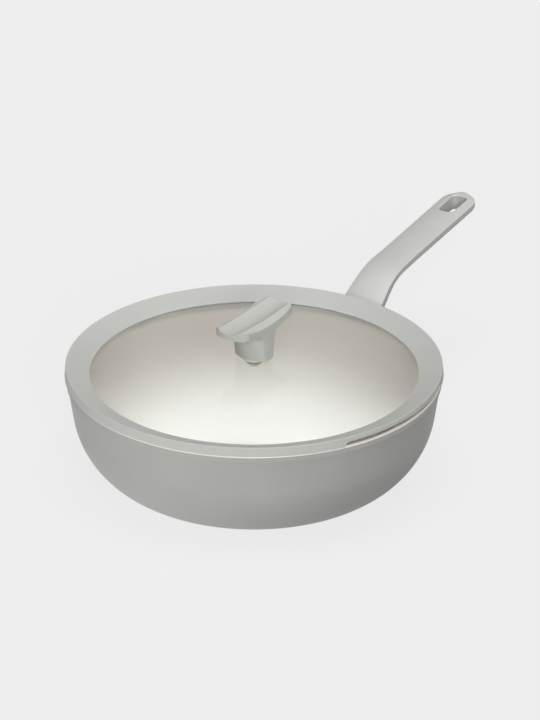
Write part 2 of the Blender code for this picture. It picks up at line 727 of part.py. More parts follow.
def neck_block(half_width, high, low, length):
    """A straight block along the neck, from inside the wall, between two depths under the handle's top."""
    root = Vector((wall_radius(HANDLE_ROOT_HEIGHT), 0, HANDLE_ROOT_HEIGHT))
    across = Vector((-math.sin(NECK_SLOPE), 0, math.cos(NECK_SLOPE)))
    first = []
    last = []
    for side, fall in ((-half_width, high), (half_width, high), (half_width, low), (-half_width, low)):
        start = root + Vector((0, side, 0)) - across * fall
        first.append(along_neck(start, NECK_SLOPE, -ROOT_OVERRUN))
        last.append(along_neck(start, NECK_SLOPE, length))
    return skin([first, last])


def fit_to_wall(obj):
    """Cut a piece's root to the pan's outer wall, with the fit gap between them."""
    centre = outer_bend_centre()
    outline = arc(centre, OUTER_BEND_RADIUS + FIT_GAP, -FOOT_ANGLE, -WALL_DRAFT, BEND_STEPS)
    top = wall_radius(BAND_FOOT_Z) + FIT_GAP / math.cos(WALL_DRAFT)
    outline += [(top, BAND_FOOT_Z), (0.0, BAND_FOOT_Z), (0.0, outline[0][1])]
    cutter = as_cutter(add_object(obj.name + "_wall", turned(outline)))
    boolean(obj, cutter)


def screw_matrix(depth):
    """Frame of the handle screw at a depth under the handle's top: its Z points up across the neck."""
    root = Vector((wall_radius(HANDLE_ROOT_HEIGHT), 0, HANDLE_ROOT_HEIGHT))
    place = along_neck(root, NECK_SLOPE, BRACKET_LENGTH - HANDLE_SCREW_FROM_END)
    across = Vector((-math.sin(NECK_SLOPE), 0, math.cos(NECK_SLOPE)))
    return Matrix.Translation(place - across * depth) @ Matrix.Rotation(-NECK_SLOPE, 4, "Y")


def bracket_levels():
    """Depths of the bracket's upper and lower faces under the handle's top."""
    return BRACKET_BELOW_TOP - BRACKET_DEPTH / 2, BRACKET_BELOW_TOP + BRACKET_DEPTH / 2


def counterbore_depth():
    """Depth of the counterbore's floor under the handle's top."""
    return bracket_levels()[1] + POCKET_CLEARANCE + COUNTERBORE_WALL


def build_bracket(finish):
    """The block on the pan's wall that carries the handle."""
    high, low = bracket_levels()
    block = neck_block(BRACKET_WIDTH / 2, high, low, BRACKET_LENGTH)
    bracket = add_object("handle_bracket", block, finish)
    fit_to_wall(bracket)
    hole = disc_profile(HANDLE_SCREW_RADIUS + FIT_GAP, -CUT_BEYOND, BRACKET_DEPTH + CUT_BEYOND)
    cutter = add_object("bracket_hole", turned(hole, SMALL_STEPS), None, screw_matrix(low))
    boolean(bracket, as_cutter(cutter))
    return bracket


def hang_hole_rings():
    """Cross-sections of the hanging hole's cutter, flared at the top for the chamfer."""
    slope = GRIP_SLOPE
    across = Vector((-math.sin(slope), 0, math.cos(slope)))
    middle = HANDLE_REACH - HANG_HOLE_FROM_TIP - HANG_HOLE_LENGTH / 2
    top_z = 0.0
    for reach, height, at_slope in handle_path():
        if at_slope == GRIP_SLOPE:
            top_z = height + (middle - reach) * math.tan(slope)
            break
    centre = Vector((middle, 0, top_z))
    levels = [
        (CUT_BEYOND, HANG_HOLE_CHAMFER + CUT_BEYOND),
        (0.0, HANG_HOLE_CHAMFER),
        (-HANG_HOLE_CHAMFER, 0.0),
        (-HANDLE_GRIP_DEPTH - CUT_BEYOND, 0.0),
    ]
    rings = []
    for rise, grow in levels:
        half_length = HANG_HOLE_LENGTH / 2 + grow
        half_width = HANG_HOLE_WIDTH / 2 + grow
        corner = HANG_HOLE_CORNER + grow
        ring = []
        for turn, (sx, sy) in enumerate(((1, 1), (-1, 1), (-1, -1), (1, -1))):
            corner_centre = (sx * (half_length - corner), sy * (half_width - corner))
            for x, y in arc(corner_centre, corner, turn * math.pi / 2, (turn + 1) * math.pi / 2, 4):
                ring.append(centre + Vector((math.cos(slope) * x, y, math.sin(slope) * x)) + across * rise)
        rings.append(ring)
    return rings


def build_handle(finish):
    """The moulded handle, with its pocket for the bracket, screw hole and hanging hole."""
    handle = add_object("handle_grip", skin(handle_rings()), finish)
    fit_to_wall(handle)
    high, low = bracket_levels()
    clear = POCKET_CLEARANCE
    pocket = neck_block(BRACKET_WIDTH / 2 + clear, high - clear, low + clear, BRACKET_LENGTH + clear)
    boolean(handle, as_cutter(add_object("handle_pocket", pocket)))
    below = HANDLE_ROOT_DEPTH + CUT_BEYOND
    shank = disc_profile(HANDLE_SCREW_RADIUS + FIT_GAP, -below, CUT_BEYOND)
    bore = disc_profile(HANDLE_WASHER_RADIUS + FIT_GAP, -below, 0.0)
    shank_place = screw_matrix(low)
    bore_place = screw_matrix(counterbore_depth())
    boolean(handle, as_cutter(add_object("handle_screw_hole", turned(shank, SMALL_STEPS), None, shank_place)))
    boolean(handle, as_cutter(add_object("handle_counterbore", turned(bore, SMALL_STEPS), None, bore_place)))
    boolean(handle, as_cutter(add_object("hang_hole", skin(hang_hole_rings()))))
    return handle


def build_handle_screw(finish):
    """The screw up through the handle's underside into the bracket."""
    head_top = counterbore_depth() + 2 * FIT_GAP + HANDLE_WASHER_THICKNESS
    length = head_top - bracket_levels()[0]
    profile = screw_profile(
        HANDLE_SCREW_RADIUS,
        HANDLE_SCREW_HEAD_RADIUS,
        HANDLE_SCREW_HEAD_HEIGHT,
        length,
        HANDLE_SCREW_RECESS_RADIUS,
        HANDLE_SCREW_RECESS_DEPTH,
    )
    place = screw_matrix(head_top + HANDLE_SCREW_HEAD_HEIGHT)
    return add_object("handle_screw", turned(profile, SMALL_STEPS), finish, place)


def build_handle_washer(finish):
    """The washer under the handle screw's head."""
    profile = disc_profile(HANDLE_WASHER_RADIUS, 0.0, HANDLE_WASHER_THICKNESS, HANDLE_SCREW_RADIUS + FIT_GAP)
    place = screw_matrix(counterbore_depth() + FIT_GAP + HANDLE_WASHER_THICKNESS)
    return add_object("handle_screw_washer", turned(profile, SMALL_STEPS), finish, place)


def main():
    """Build every piece of the pan and its lid."""
    clear_scene()
    steel = (0.62, 0.62, 0.63)
    grey = (0.53, 0.54, 0.51)
    build_pan(material("ceramic_grey", grey, 0.5))
    build_plate(material("brushed_steel", steel, 0.35, 1.0))
    build_bracket(material("cast_aluminium", (0.66, 0.66, 0.67), 0.45, 1.0))
    build_handle(material("soft_touch_grey", (0.56, 0.57, 0.54), 0.55))
    build_handle_screw(material("handle_screw_steel", steel, 0.3, 1.0))
    build_handle_washer(material("handle_washer_steel", steel, 0.35, 1.0))
    build_glass(material("clear_glass", (0.95, 0.97, 0.96), 0.03, 0.0, 0.25))
    build_ring(material("silicone_grey", (0.55, 0.56, 0.53), 0.6))
    build_knob(material("knob_grey", (0.56, 0.57, 0.54), 0.55))
    build_insert(material("brass", (0.72, 0.56, 0.28), 0.35, 1.0))
    build_knob_gasket(material("pale_silicone", (0.75, 0.75, 0.73), 0.5))
    build_inner_gasket(material("clear_silicone", (0.78, 0.78, 0.76), 0.5))
    build_knob_screw(material("knob_screw_steel", steel, 0.3, 1.0))
    build_knob_washer(material("knob_washer_steel", steel, 0.35, 1.0))


main()
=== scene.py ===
"""Deep pan with a straining glass lid: fine meshes, finishes, camera and light.

Metres, +Z up, +X along the handle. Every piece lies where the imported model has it.
"""

import logging
import math
from contextlib import contextmanager
from dataclasses import dataclass
from enum import Enum
from typing import Callable, Iterator, Sequence

import bmesh
import bpy
from mathutils import Matrix, Vector


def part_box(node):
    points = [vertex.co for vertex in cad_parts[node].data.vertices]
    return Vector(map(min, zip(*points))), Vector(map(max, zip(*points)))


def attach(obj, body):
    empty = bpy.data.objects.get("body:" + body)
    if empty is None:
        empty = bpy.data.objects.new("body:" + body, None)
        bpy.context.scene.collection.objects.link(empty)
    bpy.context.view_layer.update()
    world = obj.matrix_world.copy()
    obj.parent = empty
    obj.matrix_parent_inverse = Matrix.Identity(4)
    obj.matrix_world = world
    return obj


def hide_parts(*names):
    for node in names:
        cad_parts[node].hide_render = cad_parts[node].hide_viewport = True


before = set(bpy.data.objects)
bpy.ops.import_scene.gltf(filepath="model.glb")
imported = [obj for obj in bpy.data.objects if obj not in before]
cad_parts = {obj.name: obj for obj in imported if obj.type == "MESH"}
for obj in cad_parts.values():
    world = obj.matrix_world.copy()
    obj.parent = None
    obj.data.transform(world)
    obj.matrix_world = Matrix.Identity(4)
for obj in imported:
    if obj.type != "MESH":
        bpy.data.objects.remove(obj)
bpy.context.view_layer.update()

MM = 0.001
MERGE_GAP = 0.002 * MM
LEVEL_GAP = 0.01 * MM
ANGLE_GAP = 0.002
NOISE_MIDDLE = (0.3, 0.7)
LOG = logging.getLogger("pan")

Outline = list[tuple[float, float]]
Colour = tuple[float, float, float]


class Pick(Enum):
    """What a selection in edit mode is made of."""

    POINTS = "VERT"
    EDGES = "EDGE"
    FACES = "FACE"


class Joining(Enum):
    """What a tool does to the piece that it is combined with."""

    CUT = "DIFFERENCE"
    JOIN = "UNION"


# Modelling helpers


def deselect_all() -> None:
    """Leave nothing selected, so that an operator acts only on what is picked next."""
    bpy.ops.object.select_all(action="DESELECT")


def activate(piece: bpy.types.Object) -> None:
    """Make one piece the only selected and the active object.

    Args:
        piece: The object.
    """
    deselect_all()
    piece.select_set(True)
    bpy.context.view_layer.objects.active = piece


def added(name: str) -> bpy.types.Object:
    """Name the primitive that was just added and return it.

    Args:
        name: The piece's name.

    Returns:
        The mesh object.
    """
    piece = bpy.context.object
    piece.name = name
    piece.data.name = name
    return piece


@contextmanager
def editing(piece: bpy.types.Object, kind: Pick = Pick.POINTS) -> Iterator[None]:
    """Hold a piece in edit mode, with everything on it selected at the start.

    Args:
        piece: The mesh object to edit.
        kind: What a selection picks.
    """
    activate(piece)
    bpy.ops.object.mode_set(mode="EDIT")
    bpy.ops.mesh.select_mode(type=kind.value)
    bpy.ops.mesh.select_all(action="SELECT")
    yield
    bpy.ops.object.mode_set(mode="OBJECT")


def pick(piece: bpy.types.Object, kind: Pick, test: Callable[[Vector], bool]) -> None:
    """Select the edges or faces whose middle passes a test.

    Args:
        piece: The mesh object in edit mode.
        kind: What is picked, edges or faces.
        test: Takes the middle in world coordinates.
    """
    bpy.ops.mesh.select_mode(type=kind.value)
    bpy.ops.mesh.select_all(action="DESELECT")
    shape = bmesh.from_edit_mesh(piece.data)
    place = piece.matrix_world
    if kind is Pick.EDGES:
        for edge in shape.edges:
            edge.select_set(test(place @ ((edge.verts[0].co + edge.verts[1].co) / 2)))
    else:
        for face in shape.faces:
            face.select_set(test(place @ face.calc_center_median()))
    shape.select_flush_mode()
    bmesh.update_edit_mesh(piece.data)


def slide(rise: float) -> None:
    """Move what is selected in edit mode along Z."""
    bpy.ops.transform.translate(value=(0.0, 0.0, rise))


def widen(x: float, y: float, height: float = 0.0) -> None:
    """Scale what is selected in edit mode along X and Y, about the Z axis at a height."""
    bpy.ops.transform.resize(value=(x, y, 1.0), center_override=(0.0, 0.0, height))


def extrude(rise: float) -> None:
    """Extrude what is selected in edit mode along Z."""
    bpy.ops.mesh.extrude_region_move(TRANSFORM_OT_translate={"value": (0.0, 0.0, rise)})


def close_ends() -> None:
    """Fill the open ends of the mesh in edit mode."""
    bpy.ops.mesh.select_all(action="DESELECT")
    bpy.ops.mesh.select_non_manifold(use_boundary=True)
    bpy.ops.mesh.edge_face_add()


def tube(name: str, points: int, levels: int) -> bpy.types.Object:
    """Extrude a circle of radius 1 up into a closed tube with one unit from level to level.

    Args:
        name: The piece's name.
        points: Points round each level.
        levels: Number of levels above the first.

    Returns:
        The mesh object, which a rule still has to press into its form.
    """
    deselect_all()
    bpy.ops.mesh.primitive_circle_add(vertices=points, radius=1.0, location=(0, 0, 0))
    piece = added(name)
    with editing(piece, Pick.EDGES):
        for _ in range(levels):
            extrude(1.0)
        close_ends()
    return piece


def finish_mesh(piece: bpy.types.Object, smooth_angle: float = 35.0) -> bpy.types.Object:
    """Merge doubles, turn the faces outwards, smooth the shading and put the place into the mesh.

    Args:
        piece: The mesh object.
        smooth_angle: Edges sharper than this many degrees stay sharp.

    Returns:
        The same object, at the origin, unturned and unscaled.
    """
    with editing(piece, Pick.FACES):
        bpy.ops.mesh.remove_doubles(threshold=MERGE_GAP)
        bpy.ops.mesh.normals_make_consistent(inside=False)
    activate(piece)
    bpy.ops.object.transform_apply(location=True, rotation=True, scale=True)
    bpy.ops.object.shade_smooth_by_angle(angle=math.radians(smooth_angle))
    return piece


def even_shading(piece: bpy.types.Object) -> None:
    """Let the large faces set the shading, so that flats stay flat beside their rounded edges.

    Args:
        piece: The finished mesh object.
    """
    modifier = piece.modifiers.new("Even shading", "WEIGHTED_NORMAL")
    modifier.keep_sharp = True
    apply_all(piece)


def mould(piece: bpy.types.Object, rule: Callable[[Vector], Vector]) -> None:
    """Press a mesh at the origin into a form: every point moves to where a rule puts it.

    Args:
        piece: The mesh object, in object mode and without a transform.
        rule: Takes a point and returns its new place.
    """
    for point in piece.data.vertices:
        point.co = rule(point.co)
    piece.data.update()


def apply_all(piece: bpy.types.Object) -> None:
    """Apply a piece's modifiers in their order.

    Args:
        piece: The mesh object.
    """
    activate(piece)
    for name in [modifier.name for modifier in piece.modifiers]:
        bpy.ops.object.modifier_apply(modifier=name)


def soften(piece: bpy.types.Object, width: float, segments: int, angle: float) -> None:
    """Round a piece's sharp edges with a Bevel modifier.

    Args:
        piece: The mesh object.
        width: Width of the rounding.
        segments: Faces across the rounding.
        angle: Edges sharper than this many degrees are rounded.
    """
    modifier = piece.modifiers.new("Rounded edges", "BEVEL")
    modifier.width = width
    modifier.segments = segments
    modifier.limit_method = "ANGLE"
    modifier.angle_limit = math.radians(angle)
    modifier.use_clamp_overlap = True
    apply_all(piece)


def combine(piece: bpy.types.Object, tool: bpy.types.Object, joining: Joining = Joining.CUT) -> None:
    """Cut a tool from a piece, or join the two, and delete the tool.

    Args:
        piece: The mesh object that stays.
        tool: The mesh object that is used up.
        joining: What the tool does to the piece.
    """
    modifier = piece.modifiers.new(tool.name, "BOOLEAN")
    modifier.operation = joining.value
    modifier.solver = "EXACT"
    modifier.object = tool
    apply_all(piece)
    LOG.info("%s: %d faces after %s", piece.name, len(piece.data.polygons), tool.name)
    bpy.data.objects.remove(tool)


def arc(centre: tuple[float, float], radius: float, start: float, end: float, steps: int) -> Outline:
    """Points on an arc in the plane of radius and height, both ends included.

    Args:
        centre: The arc's centre.
        radius: The arc's radius.
        start: First angle in radians.
        end: Last angle in radians.
        steps: Number of chords.

    Returns:
        The points from start to end.
    """
    angles = [start + (end - start) * index / steps for index in range(steps + 1)]
    return [(centre[0] + radius * math.cos(a), centre[1] + radius * math.sin(a)) for a in angles]


def rounded(corners: Sequence[tuple[float, float, float]], steps: int = 4) -> Outline:
    """Draw a closed outline from corners that each have their own rounding.

    Args:
        corners: (radius, height, rounding) of each corner in order.
        steps: Chords in each rounding.

    Returns:
        The outline's points.
    """
    made: Outline = []
    count = len(corners)
    for index, (x, y, radius) in enumerate(corners):
        here = Vector((x, y))
        if radius <= 0:
            made.append((x, y))
            continue
        before = Vector(corners[index - 1][:2]) - here
        after = Vector(corners[(index + 1) % count][:2]) - here
        half = before.angle(after) / 2
        reach = min(radius / math.tan(half), before.length * 0.49, after.length * 0.49)
        size = reach * math.tan(half)
        middle = here + (before.normalized() + after.normalized()).normalized() * size / math.sin(half)
        first = here + before.normalized() * reach - middle
        last = here + after.normalized() * reach - middle
        for step in range(steps + 1):
            way = first.lerp(last, step / steps).normalized() * size
            made.append((middle.x + way.x, middle.y + way.y))
    return made


def turn(name: str, outline: Outline, steps: int = 180, closed: bool = True) -> bpy.types.Object:
    """Turn an outline about Z: a circle at its first point is extruded from point to point.

    Args:
        name: The piece's name.
        outline: (radius, height) points.
        steps: Points round each ring.
        closed: True joins the last ring to the first; False caps both ends.

    Returns:
        The finished mesh object.
    """
    deselect_all()
    radius, height = outline[0]
    bpy.ops.mesh.primitive_circle_add(vertices=steps, radius=radius, location=(0, 0, height))
    piece = added(name)
    following = outline[1:] + ([outline[0]] if closed else [])
    with editing(piece, Pick.EDGES):
        for next_radius, next_height in following:
            extrude(next_height - height)
            share = next_radius / radius
            widen(share, share, next_height)
            radius, height = next_radius, next_height
        bpy.ops.mesh.select_all(action="SELECT")
        bpy.ops.mesh.remove_doubles(threshold=MERGE_GAP)
        if not closed:
            close_ends()
    return finish_mesh(piece)


def sweep_sector(name: str, outline: Outline, start: float, end: float, steps: int) -> bpy.types.Object:
    """Spin a closed outline about Z from one angle to another, as a solid with flat ends.

    Args:
        name: The piece's name.
        outline: (radius, height) points.
        start: First angle in radians.
        end: Last angle in radians.
        steps: Number of steps round.

    Returns:
        The finished mesh object.
    """
    deselect_all()
    first = outline[0]
    bpy.ops.mesh.primitive_plane_add(size=MM, location=(first[0], 0, first[1]))
    piece = added(name)
    with editing(piece, Pick.POINTS):
        bpy.ops.mesh.merge(type="CENTER")
        for (x0, z0), (x1, z1) in zip(outline, outline[1:]):
            bpy.ops.mesh.extrude_vertices_move(TRANSFORM_OT_translate={"value": (x1 - x0, 0, z1 - z0)})
        bpy.ops.mesh.select_all(action="SELECT")
        bpy.ops.mesh.edge_face_add()
        bpy.ops.mesh.select_all(action="SELECT")
        turn_by_matrix(piece, Matrix.Rotation(start, 4, "Z"))
        bpy.ops.mesh.spin(steps=steps, angle=end - start, center=(0, 0, 0), axis=(0, 0, -1))
    return finish_mesh(piece)


def turn_by_matrix(piece: bpy.types.Object, matrix: Matrix) -> None:
    """Turn a piece's mesh about the world's origin while it is in edit mode.

    Args:
        piece: The mesh object in edit mode.
        matrix: The turn, in world coordinates.
    """
    local = piece.matrix_world.inverted() @ matrix @ piece.matrix_world
    shape = bmesh.from_edit_mesh(piece.data)
    bmesh.ops.transform(shape, matrix=local, verts=shape.verts)
    bmesh.update_edit_mesh(piece.data)


# Finishes


def linear(tone: Sequence[int]) -> Colour:
    """Change a display colour of 0 to 255 into Blender's linear colour."""
    shares = [value / 255 for value in tone]
    return tuple(s / 12.92 if s <= 0.04045 else ((s + 0.055) / 1.055) ** 2.4 for s in shares)


class NodeSheet:
    """A material's node tree, with short calls for the nodes that the finishes share."""

    def __init__(self, name: str) -> None:
        """Make a material with one Principled shader.

        Args:
            name: The material's name.
        """
        self.material = bpy.data.materials.new(name)
        self.material.use_nodes = True
        self.nodes = self.material.node_tree.nodes
        self.links = self.material.node_tree.links
        self.shader = self.nodes["Principled BSDF"]
        self.place = self.nodes.new("ShaderNodeTexCoord").outputs["Object"]

    def set(self, socket: str, value: float | Sequence[float]) -> None:
        """Set one of the shader's own sockets."""
        self.shader.inputs[socket].default_value = value

    def noise(self, scale: float, detail: float = 3.0) -> bpy.types.NodeSocket:
        """Add noise on object coordinates.

        Args:
            scale: Cells per metre.
            detail: Number of finer layers.

        Returns:
            The noise's value.
        """
        made = self.nodes.new("ShaderNodeTexNoise")
        made.inputs["Scale"].default_value = scale
        made.inputs["Detail"].default_value = detail
        self.links.new(self.place, made.inputs["Vector"])
        return made.outputs["Fac"]

    def spread(self, source: bpy.types.NodeSocket, low: float, high: float) -> bpy.types.NodeSocket:
        """Map the middle of a noise's range to the range from low to high.

        Args:
            source: The noise's value.
            low: What its middle range starts at.
            high: What its middle range ends at.

        Returns:
            The mapped value.
        """
        made = self.nodes.new("ShaderNodeMapRange")
        made.inputs["From Min"].default_value = NOISE_MIDDLE[0]
        made.inputs["From Max"].default_value = NOISE_MIDDLE[1]
        made.inputs["To Min"].default_value = low
        made.inputs["To Max"].default_value = high
        self.links.new(source, made.inputs["Value"])
        return made.outputs["Result"]

    def blend(self, factor: bpy.types.NodeSocket, first: Colour, second: Colour) -> bpy.types.NodeSocket:
        """Mix two colours by a factor and return the colour.

        Args:
            factor: 0 gives the first colour, 1 the second.
            first: Linear colour.
            second: Linear colour.

        Returns:
            The mixed colour.
        """
        made = self.nodes.new("ShaderNodeMix")
        made.data_type = "RGBA"
        made.inputs[6].default_value = (*first, 1.0)
        made.inputs[7].default_value = (*second, 1.0)
        self.links.new(factor, made.inputs[0])
        return made.outputs[2]

    def vary_roughness(self, source: bpy.types.NodeSocket, middle: float, swing: float) -> None:
        """Let the roughness wander with a noise, by a swing to either side of its middle."""
        varied = self.spread(source, middle - swing, middle + swing)
        self.links.new(varied, self.shader.inputs["Roughness"])

    def bump(self, height: bpy.types.NodeSocket, depth: float) -> None:
        """Raise the surface by a height, at most by a depth in metres.

        Args:
            height: Height from 0 to 1.
            depth: Depth in metres.
        """
        made = self.nodes.new("ShaderNodeBump")
        made.inputs["Strength"].default_value = 1.0
        made.inputs["Distance"].default_value = depth
        self.links.new(height, made.inputs["Height"])
        self.links.new(made.outputs["Normal"], self.shader.inputs["Normal"])


@dataclass(frozen=True)
class SoftFinish:
    """A matt moulded or coated surface: faint clouds in its tone, a fine grain and, where given, a painted
    pool of light that makes the bottom paler.

    Attributes:
        name: The material's name.
        tone: Display colour, 0 to 255.
        cloud: How far the tone wanders to either side.
        cloud_scale: Clouds per metre.
        roughness: Middle of the roughness.
        roughness_swing: How far the roughness wanders to either side.
        grain_scale: Grains per metre.
        grain_depth: Depth of the grain in metres.
        specular: Strength of the plain shine.
        painted_pool_tone: Display colour of the painted pool of light at the bottom, where there is one.
        painted_pool_foot: Height in metres at which the painted pool starts to fade out.
        painted_pool_top: Height in metres at which it has faded out.
    """

    name: str
    tone: tuple[int, int, int]
    cloud: int = 2
    cloud_scale: float = 28.0
    roughness: float = 0.5
    roughness_swing: float = 0.04
    grain_scale: float = 1800.0
    grain_depth: float = 0.03 * MM
    specular: float = 0.5
    painted_pool_tone: tuple[int, int, int] | None = None
    painted_pool_foot: float = 5.0 * MM
    painted_pool_top: float = 68.0 * MM

    def build(self) -> bpy.types.Material:
        """Make the material.

        Returns:
            The material.
        """
        sheet = NodeSheet(self.name)
        darker = linear([value - self.cloud for value in self.tone])
        lighter = linear([value + self.cloud for value in self.tone])
        clouds = sheet.noise(self.cloud_scale, 4.0)
        colour = sheet.blend(sheet.spread(clouds, 0.0, 1.0), darker, lighter)
        # Painted light: the bottom is made paler where overhead light pools.
        if self.painted_pool_tone:
            colour = self.fade_in_painted_pool(sheet, colour)
        sheet.links.new(colour, sheet.shader.inputs["Base Color"])
        sheet.vary_roughness(clouds, self.roughness, self.roughness_swing)
        sheet.bump(sheet.noise(self.grain_scale, 2.0), self.grain_depth)
        sheet.set("Specular IOR Level", self.specular)
        return sheet.material

    def fade_in_painted_pool(self, sheet: NodeSheet, colour: bpy.types.NodeSocket) -> bpy.types.NodeSocket:
        """Fade from the painted pool of light at the bottom to another colour with growing height.

        Args:
            sheet: The material's node tree.
            colour: The colour higher up.

        Returns:
            The faded colour.
        """
        parts = sheet.nodes.new("ShaderNodeSeparateXYZ")
        sheet.links.new(sheet.place, parts.inputs[0])
        rise = sheet.nodes.new("ShaderNodeMapRange")
        rise.interpolation_type = "SMOOTHSTEP"
        rise.inputs["From Min"].default_value = self.painted_pool_foot
        rise.inputs["From Max"].default_value = self.painted_pool_top
        sheet.links.new(parts.outputs["Z"], rise.inputs["Value"])
        low = linear(self.painted_pool_tone)
        made = sheet.blend(rise.outputs["Result"], low, low)
        sheet.links.new(colour, made.node.inputs[7])
        return made


@dataclass(frozen=True)
class TurnedMetal:
    """Bare metal with fine turning marks round the Z axis.

    Attributes:
        name: The material's name.
        tone: Display colour, 0 to 255.
        roughness: Middle of the roughness.
        roughness_swing: How far the roughness wanders to either side.
        pitch: Distance between turning marks in metres.
        mark_depth: Depth of the marks in metres.
        mark_steps: How far the tone goes down and up across a mark.
    """

    name: str
    tone: tuple[int, int, int]
    roughness: float
    roughness_swing: float = 0.06
    pitch: float = 0.5 * MM
    mark_depth: float = 0.01 * MM
    mark_steps: tuple[int, int] = (-8, 6)

    def build(self) -> bpy.types.Material:
        """Make the material.

        Returns:
            The material.
        """
        sheet = NodeSheet(self.name)
        sheet.set("Metallic", 1.0)
        rings = sheet.nodes.new("ShaderNodeTexWave")
        rings.wave_type = "RINGS"
        rings.rings_direction = "Z"
        # A wave of scale 1 repeats every pi / 10 metres.
        rings.inputs["Scale"].default_value = math.pi / 10 / self.pitch
        rings.inputs["Distortion"].default_value = 0.6
        rings.inputs["Detail"].default_value = 2.0
        sheet.links.new(sheet.place, rings.inputs["Vector"])
        marks = rings.outputs["Fac"]
        tones = [linear([value + step for value in self.tone]) for step in self.mark_steps]
        sheet.links.new(sheet.blend(marks, *tones), sheet.shader.inputs["Base Color"])
        sheet.vary_roughness(sheet.noise(60.0), self.roughness, self.roughness_swing)
        sheet.bump(marks, self.mark_depth)
        return sheet.material


@dataclass(frozen=True)
class ClearGlass:
    """Clear tempered glass, with smears in its shine, that lets lamp light through.

    Attributes:
        name: The material's name.
        tint: Display colour of what passes through, 0 to 255.
        ior: Refractive index, below plain glass's, because the photograph shows hardly any mirror
            image in the lid.
        roughness: Middle of the roughness.
        roughness_swing: How far the roughness wanders to either side.
    """

    name: str
    tint: tuple[int, int, int]
    ior: float = 1.26
    roughness: float = 0.0175
    roughness_swing: float = 0.0125

    def build(self) -> bpy.types.Material:
        """Make the material.

        Returns:
            The material.
        """
        sheet = NodeSheet(self.name)
        sheet.set("Base Color", (*linear(self.tint), 1.0))
        sheet.set("Transmission Weight", 1.0)
        sheet.set("IOR", self.ior)
        sheet.vary_roughness(sheet.noise(18.0, 5.0), self.roughness, self.roughness_swing)
        clear = sheet.nodes.new("ShaderNodeBsdfTransparent")
        graze = sheet.nodes.new("ShaderNodeFresnel")
        graze.inputs["IOR"].default_value = self.ior
        let_through = sheet.blend(graze.outputs["Fac"], linear(self.tint), (0.0, 0.0, 0.0))
        sheet.links.new(let_through, clear.inputs["Color"])
        path = sheet.nodes.new("ShaderNodeLightPath")
        mix = sheet.nodes.new("ShaderNodeMixShader")
        output = sheet.nodes["Material Output"]
        sheet.links.new(path.outputs["Is Shadow Ray"], mix.inputs[0])
        sheet.links.new(sheet.shader.outputs[0], mix.inputs[1])
        sheet.links.new(clear.outputs[0], mix.inputs[2])
        sheet.links.new(mix.outputs[0], output.inputs["Surface"])
        return sheet.material


class Finishes:
    """Every finish of the pan and its lid, each made once."""

    def __init__(self) -> None:
        """Make the materials."""
        self.coat_grey = SoftFinish(
            "ceramic_coat_grey",
            (172, 172, 169),
            roughness=0.45,
            specular=0.3,
        ).build()
        # Painted light and shade: the cream's tone is darker than the coat, for the shade on the walls under
        # the ring, and its low tone paler, for the pool of overhead light on the floor.
        self.coat_cream_with_painted_light = SoftFinish(
            "ceramic_coat_cream",
            (203, 192, 179),
            roughness=0.42,
            grain_depth=0.01 * MM,
            specular=0.25,
            painted_pool_tone=(233, 230, 227),
        ).build()
        # Painted light: the rim has the same cream coat, painted paler for the light that reaches it under
        # the ring.
        self.coat_rim_painted_light = SoftFinish("ceramic_coat_rim", (238, 230, 221), roughness=0.35).build()
        self.handle = SoftFinish("soft_touch_plastic", (191, 192, 188)).build()
        self.knob = SoftFinish("soft_touch_knob", (187, 188, 183)).build()
        self.silicone = SoftFinish(
            "silicone_grey",
            (186, 187, 183),
            roughness=0.55,
            grain_scale=900.0,
        ).build()
        self.gasket = SoftFinish(
            "silicone_pale",
            (214, 214, 210),
            roughness=0.45,
            specular=0.4,
        ).build()
        self.glass = ClearGlass("tempered_glass", (250, 252, 251)).build()
        self.plate = TurnedMetal("turned_steel_disc", (192, 192, 192), 0.34, pitch=0.6 * MM).build()
        self.bracket = TurnedMetal("bracket_metal", (196, 196, 197), 0.45).build()
        self.steel = TurnedMetal("screw_steel", (196, 196, 198), 0.28, pitch=0.4 * MM).build()
        self.brass = TurnedMetal("insert_brass", (214, 184, 120), 0.3).build()


def dress(piece: bpy.types.Object, material: bpy.types.Material) -> None:
    """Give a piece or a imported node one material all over."""
    piece.data.materials.clear()
    piece.data.materials.append(material)


def seat(piece: bpy.types.Object, body: str, slot: str, *nodes: str) -> None:
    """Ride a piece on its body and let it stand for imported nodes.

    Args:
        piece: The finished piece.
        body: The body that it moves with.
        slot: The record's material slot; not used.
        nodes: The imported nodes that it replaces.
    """
    even_shading(piece)
    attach(piece, body)
    if nodes:
        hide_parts(*nodes)
    LOG.info("%s: %d faces, on %s", piece.name, len(piece.data.polygons), body)


# Pan


